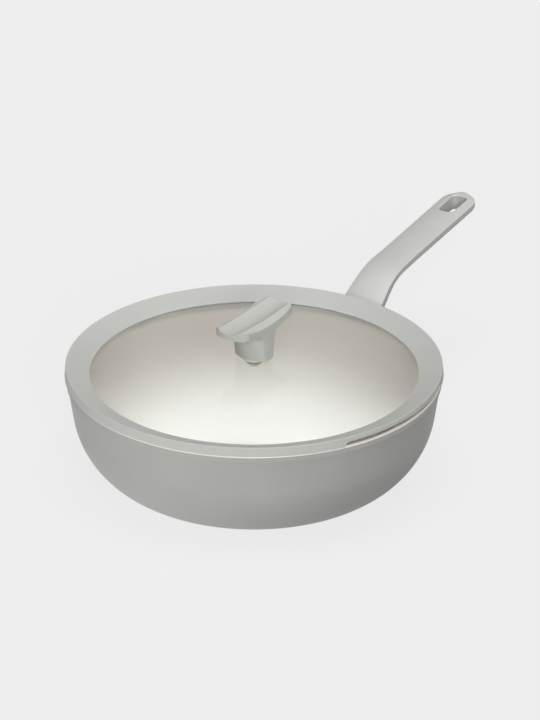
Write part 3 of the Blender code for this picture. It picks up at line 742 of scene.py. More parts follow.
@dataclass
class PanBody:
    """The cast body: grey coat outside and cream coat inside, with painted light: the cream is paler on the
    floor and paler still on the rim.

    Attributes:
        height: Height of the rim.
        rim_radius: Outer radius of the rim band.
        band_height: Height of the rim band.
        band_step: How far the band stands out from the wall.
        band_ease: Height of the band's sloping foot, as a share of its step.
        draft: Slope of the straight wall.
        wall: Thickness of the wall.
        bend_radius: Radius of the outer bend between wall and foot.
        bend_top: Height at which the outer bend starts.
        inner_bend_radius: Radius of the inner bend between wall and floor.
        base: Height of the foot.
        floor: Thickness of the floor.
        foot_chamfer: Chamfer round the foot.
        recess_radius: Radius of the recess for the steel disc.
        recess_depth: Height of the recess's roof above the ground.
        rim_round: Rounding of the rim's edges.
        bend_steps: Chords in each bend of the wall.
        round_steps: Chords in each rounding of the rim.
    """

    height: float = 87.8 * MM
    rim_radius: float = 145.6 * MM
    band_height: float = 5.5 * MM
    band_step: float = 0.9 * MM
    band_ease: float = 0.35
    draft: float = math.radians(9.2)
    wall: float = 4.0 * MM
    bend_radius: float = 69.5 * MM
    bend_top: float = 55.4 * MM
    inner_bend_radius: float = 60.0 * MM
    base: float = 0.3 * MM
    floor: float = 5.0 * MM
    foot_chamfer: float = 0.8 * MM
    recess_radius: float = 78.3 * MM
    recess_depth: float = 1.9 * MM
    rim_round: float = 1.4 * MM
    bend_steps: int = 36
    round_steps: int = 6

    def outer_radius(self, height: float) -> float:
        """Radius of the straight part of the outer wall at a height."""
        top = self.height - self.band_height
        return self.rim_radius - self.band_step - (top - height) * math.tan(self.draft)

    def inner_radius(self, height: float) -> float:
        """Radius of the straight part of the inner wall at a height."""
        return self.outer_radius(height) - self.wall / math.cos(self.draft)

    def outer_bend(self) -> tuple[tuple[float, float], float]:
        """Centre of the outer bend, and the angle at which it meets the foot.

        Returns:
            The centre as (radius, height), and the angle in radians.
        """
        radius = self.outer_radius(self.bend_top) - self.bend_radius * math.cos(self.draft)
        height = self.bend_top + self.bend_radius * math.sin(self.draft)
        fall = height - self.base - self.foot_chamfer
        return (radius, height), -math.asin(fall / self.bend_radius)

    def outline(self) -> Outline:
        """The wall's outline, from the recess outwards, up the outside and down the inside to the floor.

        Returns:
            An open outline of (radius, height) points, closed by a cap at either end.
        """
        centre, foot_angle = self.outer_bend()
        bend = arc(centre, self.bend_radius, foot_angle, -self.draft, self.bend_steps)
        band_foot = self.height - self.band_height
        floor_z = self.base + self.floor
        inner_height = floor_z + self.inner_bend_radius
        inner_centre = self.inner_radius(inner_height) - self.inner_bend_radius / math.cos(self.draft)
        bend_inside = (inner_centre, inner_height)
        lip = self.rim_round
        lip_height = self.height - lip
        lip_outside = (self.rim_radius - lip, lip_height)
        lip_inside = (self.inner_radius(self.height) + lip, lip_height)
        quarter = math.pi / 2
        return [
            (self.recess_radius, self.recess_depth),
            (self.recess_radius, self.base),
            (bend[0][0] - self.foot_chamfer, self.base),
            *bend,
            (self.outer_radius(band_foot), band_foot),
            (self.rim_radius, band_foot + self.band_ease * self.band_step),
            *arc(lip_outside, lip, 0.0, quarter, self.round_steps),
            *arc(lip_inside, lip, quarter, math.pi - self.draft, self.round_steps),
            *arc(bend_inside, self.inner_bend_radius, -self.draft, -quarter, self.bend_steps),
        ]

    def build(self, finishes: Finishes) -> None:
        """Turn the body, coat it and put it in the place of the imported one.

        Args:
            finishes: The finishes to dress it with.
        """
        piece = turn("pan_shell", self.outline(), closed=False)
        dress(piece, finishes.coat_grey)
        piece.data.materials.append(finishes.coat_cream_with_painted_light)
        piece.data.materials.append(finishes.coat_rim_painted_light)
        with editing(piece, Pick.FACES):
            # Cream inside with its painted light and shade, and the rim's paler painted light.
            for index, test in ((1, self.is_cream), (2, self.is_painted_light_rim)):
                pick(piece, Pick.FACES, test)
                piece.active_material_index = index
                bpy.ops.object.material_slot_assign()
        seat(piece, "pan", "pan_coating", "pan_body")

    def is_painted_light_rim(self, point: Vector) -> bool:
        """True on the rounded rim, whose cream is painted paler as the light that reaches it under the ring.
        """
        return point.z > self.height - self.rim_round

    def is_cream(self, point: Vector) -> bool:
        """True where the cream coat is inside the wall.

        Args:
            point: The middle of a face.

        Returns:
            True on the cream coat.
        """
        outside = self.outer_radius(point.z)
        if point.z < self.bend_top:
            centre, _ = self.outer_bend()
            fall = min(1.0, (centre[1] - point.z) / self.bend_radius)
            outside = centre[0] + self.bend_radius * math.sqrt(1 - fall**2)
        is_inside = math.hypot(point.x, point.y) < outside - self.wall / 2
        return is_inside and point.z > self.base + self.floor - 0.1 * MM


# Lid


@dataclass
class LidGlass:
    """The domed glass, flattening out where the ring grips it.

    Attributes:
        top: Height of the upper face on the axis.
        thickness: Thickness of the glass.
        edge_radius: Radius of the glass's edge.
        dome_end: Radius at which the dome starts to flatten out.
        dome_radius: Radius of the dome's sphere.
        hole_radius: Radius of the hole for the knob's screw.
        ground: Ground rounding of the hole's edges.
        steps: Rings of the dome between hole and edge.
    """

    top: float = 102.0 * MM
    thickness: float = 4.0 * MM
    edge_radius: float = 136.5 * MM
    dome_end: float = 127.5 * MM
    dome_radius: float = 627.0 * MM
    hole_radius: float = 4.2 * MM
    ground: float = 0.6 * MM
    steps: int = 40

    def top_at(self, radius: float) -> float:
        """Height of the upper face at a radius.

        Args:
            radius: Distance from the axis.

        Returns:
            The height, on the dome or where it flattens out.
        """
        sphere = self.top - self.dome_radius
        if radius <= self.dome_end:
            return sphere + math.sqrt(self.dome_radius**2 - radius**2)
        slope = math.asin(self.dome_end / self.dome_radius)
        easing = (self.edge_radius - self.dome_end) / math.sin(slope)
        dome_end_z = sphere + math.sqrt(self.dome_radius**2 - self.dome_end**2)
        edge_z = dome_end_z - easing * (1 - math.cos(slope))
        rest = max(0.0, self.edge_radius - radius)
        return edge_z + easing - math.sqrt(easing**2 - rest**2)

    def outline(self) -> Outline:
        """The closed outline between hole and edge, with a ground rounding at the edge and the hole.

        Returns:
            A closed outline of (radius, height) points.
        """
        half = self.thickness / 2
        ground = self.ground
        span = self.edge_radius - half - self.hole_radius - ground
        radii = [self.hole_radius + ground + span * index / self.steps for index in range(self.steps + 1)]
        upper = [(radius, self.top_at(radius)) for radius in radii]
        edge_z = self.top_at(self.edge_radius) - half
        edge = arc((self.edge_radius - half, edge_z), half, math.pi / 2, -math.pi / 2, 12)[1:-1]
        under = [(radius, height - self.thickness) for radius, height in reversed(upper)]
        hole = [
            (self.hole_radius, self.top - self.thickness + ground),
            (self.hole_radius, self.top - ground),
        ]
        return upper + edge + under + hole

    def build(self, finishes: Finishes) -> None:
        """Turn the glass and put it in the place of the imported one.

        Args:
            finishes: The finishes to dress it with.
        """
        piece = turn("lid_dome", self.outline(), steps=192)
        dress(piece, finishes.glass)
        seat(piece, "lid", "lid_glass", "lid_glass")


@dataclass
class LidRing:
    """The silicone ring round the glass, with a skirt inside the rim and straining openings.

    Attributes:
        pan: The pan body that the lid sits on.
        glass: The glass that the ring holds.
        radius: Outer radius.
        seat: Height of the underside that rests on the rim.
        band: Height of the outer band.
        taper: How far the band leans in at its top.
        lip_radius: Inner radius of the upper lip.
        lower_lip_radius: Inner radius of the lip under the glass.
        lip: Thickness of the upper lip's edge.
        lower_lip: Thickness of the lower lip.
        fit: Gap between ring and glass.
        skirt_clearance: Gap between skirt and pan.
        skirt: Thickness of the skirt.
        skirt_depth: How far the skirt reaches down below the seat.
        slot_height: Height of the large straining slot.
        slot_angle: Direction of the slot's middle.
        slot_half: Half the angle that the slot spans.
        slot_corner: Rounding of the slot's upper corners.
        drain_wall: Gap between the glass's edge and a straining opening in the band.
        drain_under: How far below the glass's edge an opening in the skirt ends.
        drain_round: Rounding of an opening's roof inside the band.
        notch_height: Height of a small straining notch.
        notch_width: Width of a small straining notch.
        notch_count: Number of small notches.
        notch_pitch: Angle from notch to notch.
    """

    pan: PanBody
    glass: LidGlass
    radius: float = 147.0 * MM
    seat: float = 88.1 * MM
    band: float = 7.6 * MM
    taper: float = 0.7 * MM
    lip_radius: float = 127.5 * MM
    lower_lip_radius: float = 129.5 * MM
    lip: float = 0.4 * MM
    lower_lip: float = 1.5 * MM
    fit: float = 0.1 * MM
    skirt_clearance: float = 1.2 * MM
    skirt: float = 4.2 * MM
    skirt_depth: float = 8.6 * MM
    slot_height: float = 3.7 * MM
    slot_angle: float = math.radians(-93.2)
    slot_half: float = math.radians(26.8)
    slot_corner: float = 2.2 * MM
    drain_wall: float = 1.4 * MM
    drain_under: float = 1.8 * MM
    drain_round: float = 1.2 * MM
    notch_height: float = 2.8 * MM
    notch_width: float = 4.0 * MM
    notch_count: int = 9
    notch_pitch: float = math.radians(5)

    def outline(self) -> Outline:
        """The closed outline, with its groove for the glass and rounded edges.

        Returns:
            A closed outline of (radius, height) points.
        """
        glass = self.glass
        groove = glass.edge_radius + self.fit
        middle = (glass.dome_end + glass.edge_radius) / 2
        groove_low = glass.top_at(glass.edge_radius) - glass.thickness - self.fit
        foot = self.seat - self.skirt_depth
        skirt_outer = self.pan.inner_radius(foot) - self.skirt_clearance
        skirt_inner = skirt_outer - self.skirt
        under_lip = groove_low - self.lower_lip
        lower_top = glass.top_at(self.lower_lip_radius) - glass.thickness - self.fit
        lip_low = glass.top_at(self.lip_radius) + self.fit
        return rounded(
            [
                (self.lip_radius, lip_low + self.lip, 0.25 * MM),
                (self.radius - self.taper, self.seat + self.band, 0.45 * MM),
                (self.radius, self.seat, 0.4 * MM),
                (skirt_outer, self.seat, 0.4 * MM),
                (skirt_outer, foot, 0.7 * MM),
                (skirt_inner, foot, 0.7 * MM),
                (skirt_inner, under_lip, 0.6 * MM),
                (self.lower_lip_radius, under_lip, 0.4 * MM),
                (self.lower_lip_radius, lower_top, 0.3 * MM),
                (groove, groove_low, 0.5 * MM),
                (groove, glass.top_at(glass.edge_radius) + self.fit, 0.5 * MM),
                (middle, glass.top_at(middle) + self.fit, 0.0),
                (self.lip_radius, lip_low, 0.0),
            ]
        )

    def drain_outline(self, height: float, through_skirt: bool) -> Outline:
        """What a straining opening takes out of the ring.

        Args:
            height: How high the opening reaches above the rim.
            through_skirt: True also cuts the skirt, up to the lip under the glass.

        Returns:
            A closed outline of (radius, height) points.
        """
        wall = self.glass.edge_radius + self.drain_wall
        beyond = self.radius + 3 * MM
        low = self.seat - self.skirt_depth - MM
        top = self.seat + height
        corner = self.drain_round
        roof = arc((wall + corner, top - corner), corner, math.pi / 2, math.pi, 5)
        if not through_skirt:
            return [(wall, low), (beyond, low), (beyond, top), *roof]
        under_lip = self.glass.top_at(self.glass.edge_radius) - self.glass.thickness - self.drain_under
        inside = self.lower_lip_radius + MM
        return [(inside, low), (beyond, low), (beyond, top), *roof, (wall, under_lip), (inside, under_lip)]

    def cut_slot(self, ring: bpy.types.Object) -> None:
        """Cut the large straining slot through band and skirt, its upper corners rounded.

        Args:
            ring: The ring's mesh object.
        """
        start = self.slot_angle - self.slot_half
        outline = self.drain_outline(self.slot_height, True)
        slot = sweep_sector("slot_form", outline, start, start + 2 * self.slot_half, 60)
        top = self.seat + self.slot_height
        with editing(slot, Pick.EDGES):
            pick(slot, Pick.EDGES, lambda p: self.is_slot_end(p, top))
            bpy.ops.mesh.bevel(offset=self.slot_corner, segments=6, affect="EDGES")
        combine(ring, slot)

    def cut_notches(self, ring: bpy.types.Object) -> None:
        """Cut the row of small straining notches opposite the slot.

        Args:
            ring: The ring's mesh object.
        """
        half = self.notch_width / self.radius / 2
        outline = self.drain_outline(self.notch_height, False)
        for index in range(self.notch_count):
            middle = self.slot_angle + math.pi + (index - (self.notch_count - 1) / 2) * self.notch_pitch
            combine(ring, sweep_sector("notch_form", outline, middle - half, middle + half, 4))

    def build(self, finishes: Finishes) -> None:
        """Turn the ring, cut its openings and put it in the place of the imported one.

        Args:
            finishes: The finishes to dress it with.
        """
        piece = turn("lid_rim_ring", self.outline(), steps=240)
        self.cut_slot(piece)
        self.cut_notches(piece)
        finish_mesh(piece, 40.0)
        dress(piece, finishes.silicone)
        seat(piece, "lid", "ring_silicone", "lid_ring")

    def is_slot_end(self, point: Vector, top: float) -> bool:
        """True for the upper edge at either end of the slot's form, outside the ring's wall.

        Args:
            point: The middle of an edge.
            top: Height of the slot's roof.

        Returns:
            True where the slot's upper corner is rounded.
        """
        angle = math.atan2(point.y, point.x)
        off = abs(abs(angle - self.slot_angle) - self.slot_half)
        is_end = off < ANGLE_GAP and abs(point.z - top) < LEVEL_GAP
        return is_end and math.hypot(point.x, point.y) > self.glass.edge_radius + 4 * MM


# Knob


@dataclass
class Knob:
    """The moulded knob: a dished saddle plate on a broad stalk.

    Attributes:
        glass: The glass that the knob stands on.
        half_length: Half the plate's length along X.
        half_width: Half the plate's width.
        crest_half_width: Distance of the two crests from the middle line.
        crest_narrowing: How much nearer the crests are at the ends.
        end_bow: How far the plate's ends bow out in the middle.
        corner: Rounding of the plate's corners in plan.
        crest_height: Height of the crests above the glass.
        edge_drop: Fall from a crest to the plate's side.
        edge: Height of the plate's upright side.
        trough: Depth of the dish below the crests.
        end_trough: Depth of the dish at the ends.
        end_lift: How far the plate's ends rise.
        crest_lift: How far the crests rise at the ends.
        edge_round: Rounding of the plate's edges.
        stalk_half_width: Half the stalk's width along Y.
        flat_bottom: Half the width of the stalk's flats at its foot.
        flat_top: Half the width of the stalk's flats under the plate.
        bulge: How far the stalk's front and back bow out.
        fillet: Rounding between stalk and plate.
        stalk_foot: Height of the stalk's foot.
        stalk_round: Rounding of the stalk's foot and corners.
        side_spread: Spreads the points round the stalk; those it pushes past the sides lie flat on them.
        insert_gap: Gap between the stalk and its threaded insert.
        turn: How far the loose lid is turned from the handle's line.
    """

    glass: LidGlass
    half_length: float = 36.7 * MM
    half_width: float = 15.0 * MM
    crest_half_width: float = 10.2 * MM
    crest_narrowing: float = 0.9 * MM
    end_bow: float = 4.6 * MM
    corner: float = 4.0 * MM
    crest_height: float = 35.4 * MM
    edge_drop: float = 3.5 * MM
    edge: float = 5.9 * MM
    trough: float = 3.6 * MM
    end_trough: float = 2.4 * MM
    end_lift: float = 3.6 * MM
    crest_lift: float = 0.9 * MM
    edge_round: float = 0.3 * MM
    stalk_half_width: float = 14.8 * MM
    flat_bottom: float = 5.0 * MM
    flat_top: float = 8.2 * MM
    bulge: float = 5.3 * MM
    fillet: float = 6.0 * MM
    stalk_foot: float = 104.4 * MM
    stalk_round: float = 0.5 * MM
    side_spread: float = 1.12
    insert_gap: float = 0.3 * MM
    turn: float = math.radians(-3.2)

    def end_at(self, side: float) -> float:
        """Distance of the plate's end from the middle, at a distance from the centre line.

        Args:
            side: Distance from the centre line.

        Returns:
            The plate's reach there, bowed and rounded off.
        """
        share = min(1.0, abs(side) / self.half_width)
        over = max(0.0, abs(side) - (self.half_width - self.corner))
        round_off = self.corner - math.sqrt(max(0.0, self.corner**2 - over**2))
        return self.half_length - self.end_bow * share**2 - round_off

    def plate_point(self, point: Vector) -> Vector:
        """Where a point of the flat blank goes: x and y run from -1 to 1, and z is above 0 on top only.

        Two thirds of the blank's width become the dish, and the rest the two bevels outside the crests.

        Args:
            point: A point of the blank.

        Returns:
            The point on the pressed plate.
        """
        crest_side = self.crest_half_width - self.crest_narrowing * point.x**2
        inner = min(1.0, 1.5 * abs(point.y))
        outer = max(0.0, 3 * abs(point.y) - 2)
        side = math.copysign(crest_side * inner + (self.half_width - crest_side) * outer, point.y)
        edge = self.glass.top + self.crest_height - self.edge_drop + self.end_lift * point.x**2
        height = edge - self.edge
        if point.z > 0:
            crest = self.glass.top + self.crest_height + self.crest_lift * point.x**2
            trough = self.trough + (self.end_trough - self.trough) * point.x**2
            height = crest - trough * (1 - inner**2) + (edge - crest) * outer
        return Vector((point.x * self.end_at(side), side, height))

    def build_plate(self) -> bpy.types.Object:
        """Press the dished plate from a flat blank: a grid, thickened and rounded at its edges.

        Returns:
            The plate's mesh object.
        """
        deselect_all()
        bpy.ops.mesh.primitive_grid_add(x_subdivisions=56, y_subdivisions=30, size=2.0, location=(0, 0, 0.5))
        piece = added("knob_plate")
        with editing(piece, Pick.FACES):
            extrude(-1.0)
        activate(piece)
        bpy.ops.object.transform_apply(location=True)
        for point in piece.data.vertices:
            point.co.x = math.sin(math.pi / 2 * point.co.x)
        mould(piece, self.plate_point)
        finish_mesh(piece)
        soften(piece, self.edge_round, 3, 26.0)
        return piece

    def build_stalk(self) -> bpy.types.Object:
        """Extrude the stalk from its foot up into the plate, flaring out under the plate.

        Returns:
            The stalk's mesh object.
        """
        levels = 18
        piece = tube("knob_stalk", 48, levels)
        top = self.glass.top + self.crest_height - self.edge_drop - self.edge
        low = top - self.fillet

        def stalk_point(point: Vector) -> Vector:
            """Put a point of the straight tube on the stalk's outline at its level.

            The lower half of the levels is the plain stalk, the next 45 % the flare, and the top lies
            inside the plate.

            Args:
                point: A point of the tube, its level as z.

            Returns:
                The point on the stalk.
            """
            level = point.z / levels
            angle = math.pi / 2 * max(0.0, (level - 0.5) / 0.45)
            if level <= 0.5:
                height = self.stalk_foot + (low - self.stalk_foot) * level / 0.5
                flare = 0.0
            elif level <= 0.95:
                height = low + self.fillet * math.sin(angle)
                flare = self.fillet * (1 - math.cos(angle))
            else:
                height = top + 2.0 * MM
                flare = self.fillet
            share = min(1.0, (height - self.stalk_foot) / (top - self.stalk_foot))
            flat = self.flat_bottom + (self.flat_top - self.flat_bottom) * share + flare
            turn_share = math.atan2(point.x, point.y) / math.pi
            side = abs(turn_share)
            across = 1 - 2 * side
            y = self.stalk_half_width * max(-1.0, min(1.0, across * self.side_spread))
            bow = self.bulge * (1 - (y / self.stalk_half_width) ** 2)
            x = flat + bow
            if abs(across * self.side_spread) > 1:
                x *= (1 - abs(across)) / (1 - 1 / self.side_spread)
            return Vector((math.copysign(x, turn_share), y, height))

        mould(piece, stalk_point)
        finish_mesh(piece)
        soften(piece, self.stalk_round, 2, 50.0)
        return piece

    def build(self, finishes: Finishes) -> None:
        """Join plate and stalk, bore the pocket for the insert and put the knob in its place.

        Args:
            finishes: The finishes to dress it with.
        """
        piece = self.build_plate()
        combine(piece, self.build_stalk(), Joining.JOIN)
        insert_low, insert_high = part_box("knob_insert")
        radius = (insert_high.x - insert_low.x) / 2 + self.insert_gap
        depth = insert_high.z + self.insert_gap - self.stalk_foot
        bpy.ops.mesh.primitive_cylinder_add(
            vertices=48, radius=radius, depth=2 * depth, location=(0, 0, self.stalk_foot)
        )
        combine(piece, added("pocket_form"))
        piece.name = "knob_moulding"
        piece.data.name = piece.name
        piece.rotation_euler = (0.0, 0.0, self.turn)
        finish_mesh(piece, 30.0)
        dress(piece, finishes.knob)
        seat(piece, "lid", "knob_plastic", "knob")


# Handle


@dataclass
class Handle:
    """The one-piece handle: a neck that rises from the wall, a bend and a flat grip.

    Attributes:
        pan: The pan body that the handle is fixed to.
        neck_slope: Rise of the neck.
        grip_slope: Rise of the grip.
        root_height: Height of the handle's top at the wall.
        bend_reach: Distance from the axis to the corner of the bend.
        bend_tangent: Length of the bend on either side of its corner.
        reach: Distance from the axis to the tip.
        neck_side: Height of the upright sides on the neck.
        grip_side: Height of the upright sides on the grip.
        side_start: Distance from the axis to where the sides start to grow.
        side_end: Distance from the axis to where the sides are full.
        neck_belly: Power of the belly's curve on the neck; below 1 is full.
        grip_belly: Power of the belly's curve on the grip; above 1 is keeled.
        crown: How far the middle of the top stands above its edges.
        crown_power: Power of the crown's curve; higher is flatter in the middle.
        edge_round: Rounding of the top's edges.
        wall_width: Width at the wall.
        wall_flare: Power of the curve by which the neck widens towards the wall.
        neck_width: Width at the bend.
        grip_width: Width of the grip.
        tip_corner: Rounding of the tip's corners.
        tip_bow: How far the tip bows out.
        root_depth: Depth at the wall.
        grip_depth: Depth at the bend.
        tip_depth: Depth at the tip.
        hole_length: Length of the hanging hole.
        hole_width: Width of the hanging hole.
        hole_corner: Rounding of the hole's corners.
        hole_from_tip: Distance from the tip to the hole.
        hole_round: Rounding of the hole's upper edge.
        hole_sink: How far below the top's middle that rounding ends, as a share of the crown.
        overrun: How far the blank reaches into the wall before its root is cut to it.
        wall_gap: Gap between the handle's root and the wall.
        pocket_width: Width of the bracket in its pocket.
        pocket_depth: Height of the bracket in its pocket.
        pocket_length: How far the bracket reaches up the neck.
        pocket_fall: Depth of the bracket's middle under the neck's top.
        pocket_back: How far the pocket reaches past the wall.
        pocket_gap: Gap all round the bracket.
        screw_reach: Distance along the neck from the wall to the screw.
        screw_seat: Depth under the neck's top at which the screw's washer is seated.
        screw_gap: Gap round the washer.
        screw_bore: Length of the counterbore's form.
        neck_steps: Stations along the neck.
        bend_steps: Stations round the bend.
        grip_steps: Stations along the grip.
        tip_steps: Stations round the tip.
    """

    pan: PanBody
    neck_slope: float = math.radians(33.0)
    grip_slope: float = math.radians(5.2)
    root_height: float = 72.3 * MM
    bend_reach: float = 189.0 * MM
    bend_tangent: float = 17.0 * MM
    reach: float = 322.5 * MM
    neck_side: float = 1.0 * MM
    grip_side: float = 3.9 * MM
    side_start: float = 180.0 * MM
    side_end: float = 204.0 * MM
    neck_belly: float = 0.8
    grip_belly: float = 1.35
    crown: float = 2.3 * MM
    crown_power: float = 2.4
    edge_round: float = 0.5 * MM
    wall_width: float = 40.0 * MM
    wall_flare: float = 1.5
    neck_width: float = 30.2 * MM
    grip_width: float = 28.4 * MM
    tip_corner: float = 10.0 * MM
    tip_bow: float = 3.0 * MM
    root_depth: float = 20.0 * MM
    grip_depth: float = 15.0 * MM
    tip_depth: float = 14.5 * MM
    hole_length: float = 26.0 * MM
    hole_width: float = 13.0 * MM
    hole_corner: float = 4.5 * MM
    hole_from_tip: float = 5.5 * MM
    hole_round: float = 1.8 * MM
    hole_sink: float = 0.1
    overrun: float = 20.0 * MM
    wall_gap: float = 0.15 * MM
    pocket_width: float = 18.0 * MM
    pocket_depth: float = 8.0 * MM
    pocket_length: float = 25.0 * MM
    pocket_fall: float = 10.0 * MM
    pocket_back: float = 20.0 * MM
    pocket_gap: float = 0.35 * MM
    screw_reach: float = 17.0 * MM
    screw_seat: float = 15.95 * MM
    screw_gap: float = 0.3 * MM
    screw_bore: float = 20.0 * MM
    neck_steps: int = 12
    bend_steps: int = 16
    grip_steps: int = 20
    tip_steps: int = 16

    def root_reach(self) -> float:
        """Distance from the axis to the wall at the handle's top."""
        return self.pan.outer_radius(self.root_height)

    def stations(self) -> list[tuple[float, float, float]]:
        """Reach, height and slope of each station along the middle of the handle's top.

        Returns:
            (reach, height, slope in radians) from the wall to the tip.
        """
        neck, grip = self.neck_slope, self.grip_slope
        root = self.root_reach()
        start_x = self.bend_reach - self.bend_tangent * math.cos(neck)
        start_z = self.root_height + (start_x - root) * math.tan(neck)
        made = []
        for index in range(self.neck_steps + 1):
            x = root + (start_x - root) * index / self.neck_steps
            made.append((x, self.root_height + (x - root) * math.tan(neck), neck))
        radius = self.bend_tangent / math.tan((neck - grip) / 2)
        centre_x = start_x + radius * math.sin(neck)
        centre_z = start_z - radius * math.cos(neck)
        for index in range(1, self.bend_steps + 1):
            slope = neck + (grip - neck) * index / self.bend_steps
            made.append((centre_x - radius * math.sin(slope), centre_z + radius * math.cos(slope), slope))
        grip_x, grip_z, _ = made[-1]
        tip_start = self.reach - self.tip_corner - self.tip_bow
        for index in range(1, self.grip_steps + 1):
            x = grip_x + (tip_start - grip_x) * index / self.grip_steps
            made.append((x, grip_z + (x - grip_x) * math.tan(grip), grip))
        for index in range(1, self.tip_steps + 1):
            x = tip_start + (self.reach - tip_start) * math.sin(math.pi / 2 * index / self.tip_steps)
            made.append((x, grip_z + (x - grip_x) * math.tan(grip), grip))
        return made

    def half_width(self, reach: float) -> float:
        """Half the width at a reach.

        Args:
            reach: Distance from the axis.

        Returns:
            Half the width, round at the tip.
        """
        root = self.root_reach()
        if reach < self.bend_reach:
            eased = 1 - (1 - (reach - root) / (self.bend_reach - root)) ** self.wall_flare
            return (self.wall_width + (self.neck_width - self.wall_width) * eased) / 2
        share = min(1.0, (reach - self.bend_reach) / (2 * self.bend_tangent))
        half = (self.neck_width + (self.grip_width - self.neck_width) * share) / 2
        tip_start = self.reach - self.tip_corner - self.tip_bow
        if reach <= tip_start:
            return half
        into = (reach - tip_start) / (self.reach - tip_start)
        return half - self.tip_corner * (1 - math.sqrt(max(0.0, 1 - into**2)))

    def depth(self, reach: float) -> float:
        """Depth under the middle of the top at a reach.

        Args:
            reach: Distance from the axis.

        Returns:
            The depth.
        """
        root = self.root_reach()
        if reach < self.bend_reach:
            share = (reach - root) / (self.bend_reach - root)
            return self.root_depth + (self.grip_depth - self.root_depth) * share
        share = min(1.0, (reach - self.bend_reach) / (self.reach - self.bend_reach))
        return self.grip_depth + (self.tip_depth - self.grip_depth) * share

    def section(self, reach: float) -> Outline:
        """The outline across the handle: crowned top, rounded edges, upright sides and rounded belly.

        Args:
            reach: Distance from the axis.

        Returns:
            Points of (side, height under the top), 48 in all.
        """
        half, depth, edge = self.half_width(reach), self.depth(reach), self.edge_round
        into = min(1.0, max(0.0, (reach - self.side_start) / (self.side_end - self.side_start)))
        grown = into * into * (3 - 2 * into)
        side_height = self.neck_side + (self.grip_side - self.neck_side) * grown
        power = self.neck_belly + (self.grip_belly - self.neck_belly) * grown
        shares = [step / 7 for step in range(-7, 8)]
        top = [((half - edge) * share, -self.crown * abs(share) ** self.crown_power) for share in shares]
        right = arc((half - edge, -self.crown - edge), edge, math.pi / 2, 0.0, 4)[1:]
        foot = -self.crown - side_height
        fall = depth + foot
        belly = []
        for index in range(25):
            angle = math.pi * index / 24
            across = math.copysign(abs(math.cos(angle)) ** power, math.cos(angle))
            belly.append((half * across, foot - fall * math.sin(angle) ** power))
        left = [(-x, z) for x, z in reversed(right)]
        return top + right + belly + left

    def build_blank(self) -> bpy.types.Object:
        """Extrude a tube and press it along the handle's line, its root inside the pan's wall.

        Returns:
            The mesh object, uncut.
        """
        stations = self.stations()
        count = len(self.section(self.bend_reach))
        piece = tube("handle_blank", count, len(stations) - 1)

        def handle_point(point: Vector) -> Vector:
            """Put a point of the straight tube on the handle's outline at its station.

            Args:
                point: A point of the tube, its station as z.

            Returns:
                The point on the handle.
            """
            station = round(point.z)
            reach, height, slope = stations[station]
            index = round(math.atan2(point.x, point.y) / (2 * math.pi) * count) % count
            side, fall = self.section(reach)[index]
            back = self.overrun if station == 0 else 0.0
            x = reach - fall * math.sin(slope) - back * math.cos(slope)
            return Vector((x, side, height + fall * math.cos(slope) - back * math.sin(slope)))

        mould(piece, handle_point)
        return finish_mesh(piece)

    def along_neck(self, distance: float, fall: float) -> Vector:
        """A point on the neck's middle plane: a distance from the wall, and a depth under the top.

        Args:
            distance: Distance along the top, from the wall.
            fall: Depth square to the top.

        Returns:
            The point.
        """
        slope = self.neck_slope
        x = self.root_reach() + distance * math.cos(slope) + fall * math.sin(slope)
        return Vector((x, 0, self.root_height + distance * math.sin(slope) - fall * math.cos(slope)))

    def wall_form(self) -> bpy.types.Object:
        """The space of the pan's wall with a hair's gap, to cut the handle's root to.

        Returns:
            A solid to cut with.
        """
        centre, foot_angle = self.pan.outer_bend()
        gap = self.wall_gap
        outline = arc(centre, self.pan.bend_radius + gap, foot_angle, -self.pan.draft, 24)
        band_foot = self.pan.height - self.pan.band_height
        outline.append((self.pan.outer_radius(band_foot) + gap, band_foot))
        return turn("wall_form", outline, closed=False)

    def pocket_form(self) -> bpy.types.Object:
        """The pocket for the bracket, as a block along the neck that reaches past the wall.

        Returns:
            A solid to cut with.
        """
        length = self.pocket_length + self.pocket_back
        bpy.ops.mesh.primitive_cube_add(
            size=1.0,
            location=self.along_neck((self.pocket_length - self.pocket_back) / 2, self.pocket_fall),
            rotation=(0, -self.neck_slope, 0),
            scale=[size + 2 * self.pocket_gap for size in (length, self.pocket_width, self.pocket_depth)],
        )
        return added("pocket_form")

    def hole_form(self) -> bpy.types.Object:
        """The hanging hole: a plate with round corners, extruded down and flared out at the top.

        Returns:
            A solid to cut with.
        """
        middle = self.reach - self.hole_from_tip - self.hole_length / 2
        tip_x, tip_z, slope = self.stations()[-1]
        centre = Vector((middle, 0, tip_z - (tip_x - middle) * math.tan(slope)))
        bpy.ops.mesh.primitive_plane_add(size=1.0, location=(0, 0, 0))
        piece = added("hole_form")
        size = (self.hole_length, self.hole_width)
        with editing(piece):
            widen(*size)
            bpy.ops.mesh.bevel(offset=self.hole_corner, segments=10, affect="VERTICES")
            slide(-self.hole_round)
            bpy.ops.mesh.select_all(action="SELECT")
            grown = 0.0
            rise = 0.0
            steps = 7
            for index in range(1, steps + 1):
                angle = math.pi / 2 * index / steps
                next_grown = self.hole_round * (1 - math.cos(angle))
                next_rise = self.hole_round * math.sin(angle)
                extrude(next_rise - rise)
                widen(*[(side / 2 + next_grown) / (side / 2 + grown) for side in size])
                grown, rise = next_grown, next_rise
            extrude(2 * MM)
            pick(piece, Pick.FACES, lambda p: abs(p.z + self.hole_round) < LEVEL_GAP)
            extrude(-20 * MM)
            bpy.ops.mesh.select_all(action="SELECT")
            bpy.ops.mesh.remove_doubles(threshold=MERGE_GAP)
            bpy.ops.mesh.normals_make_consistent(inside=False)
        piece.location = centre + Vector((0, 0, -self.crown * self.hole_sink))
        piece.rotation_euler = (0, -slope, 0)
        return finish_mesh(piece)

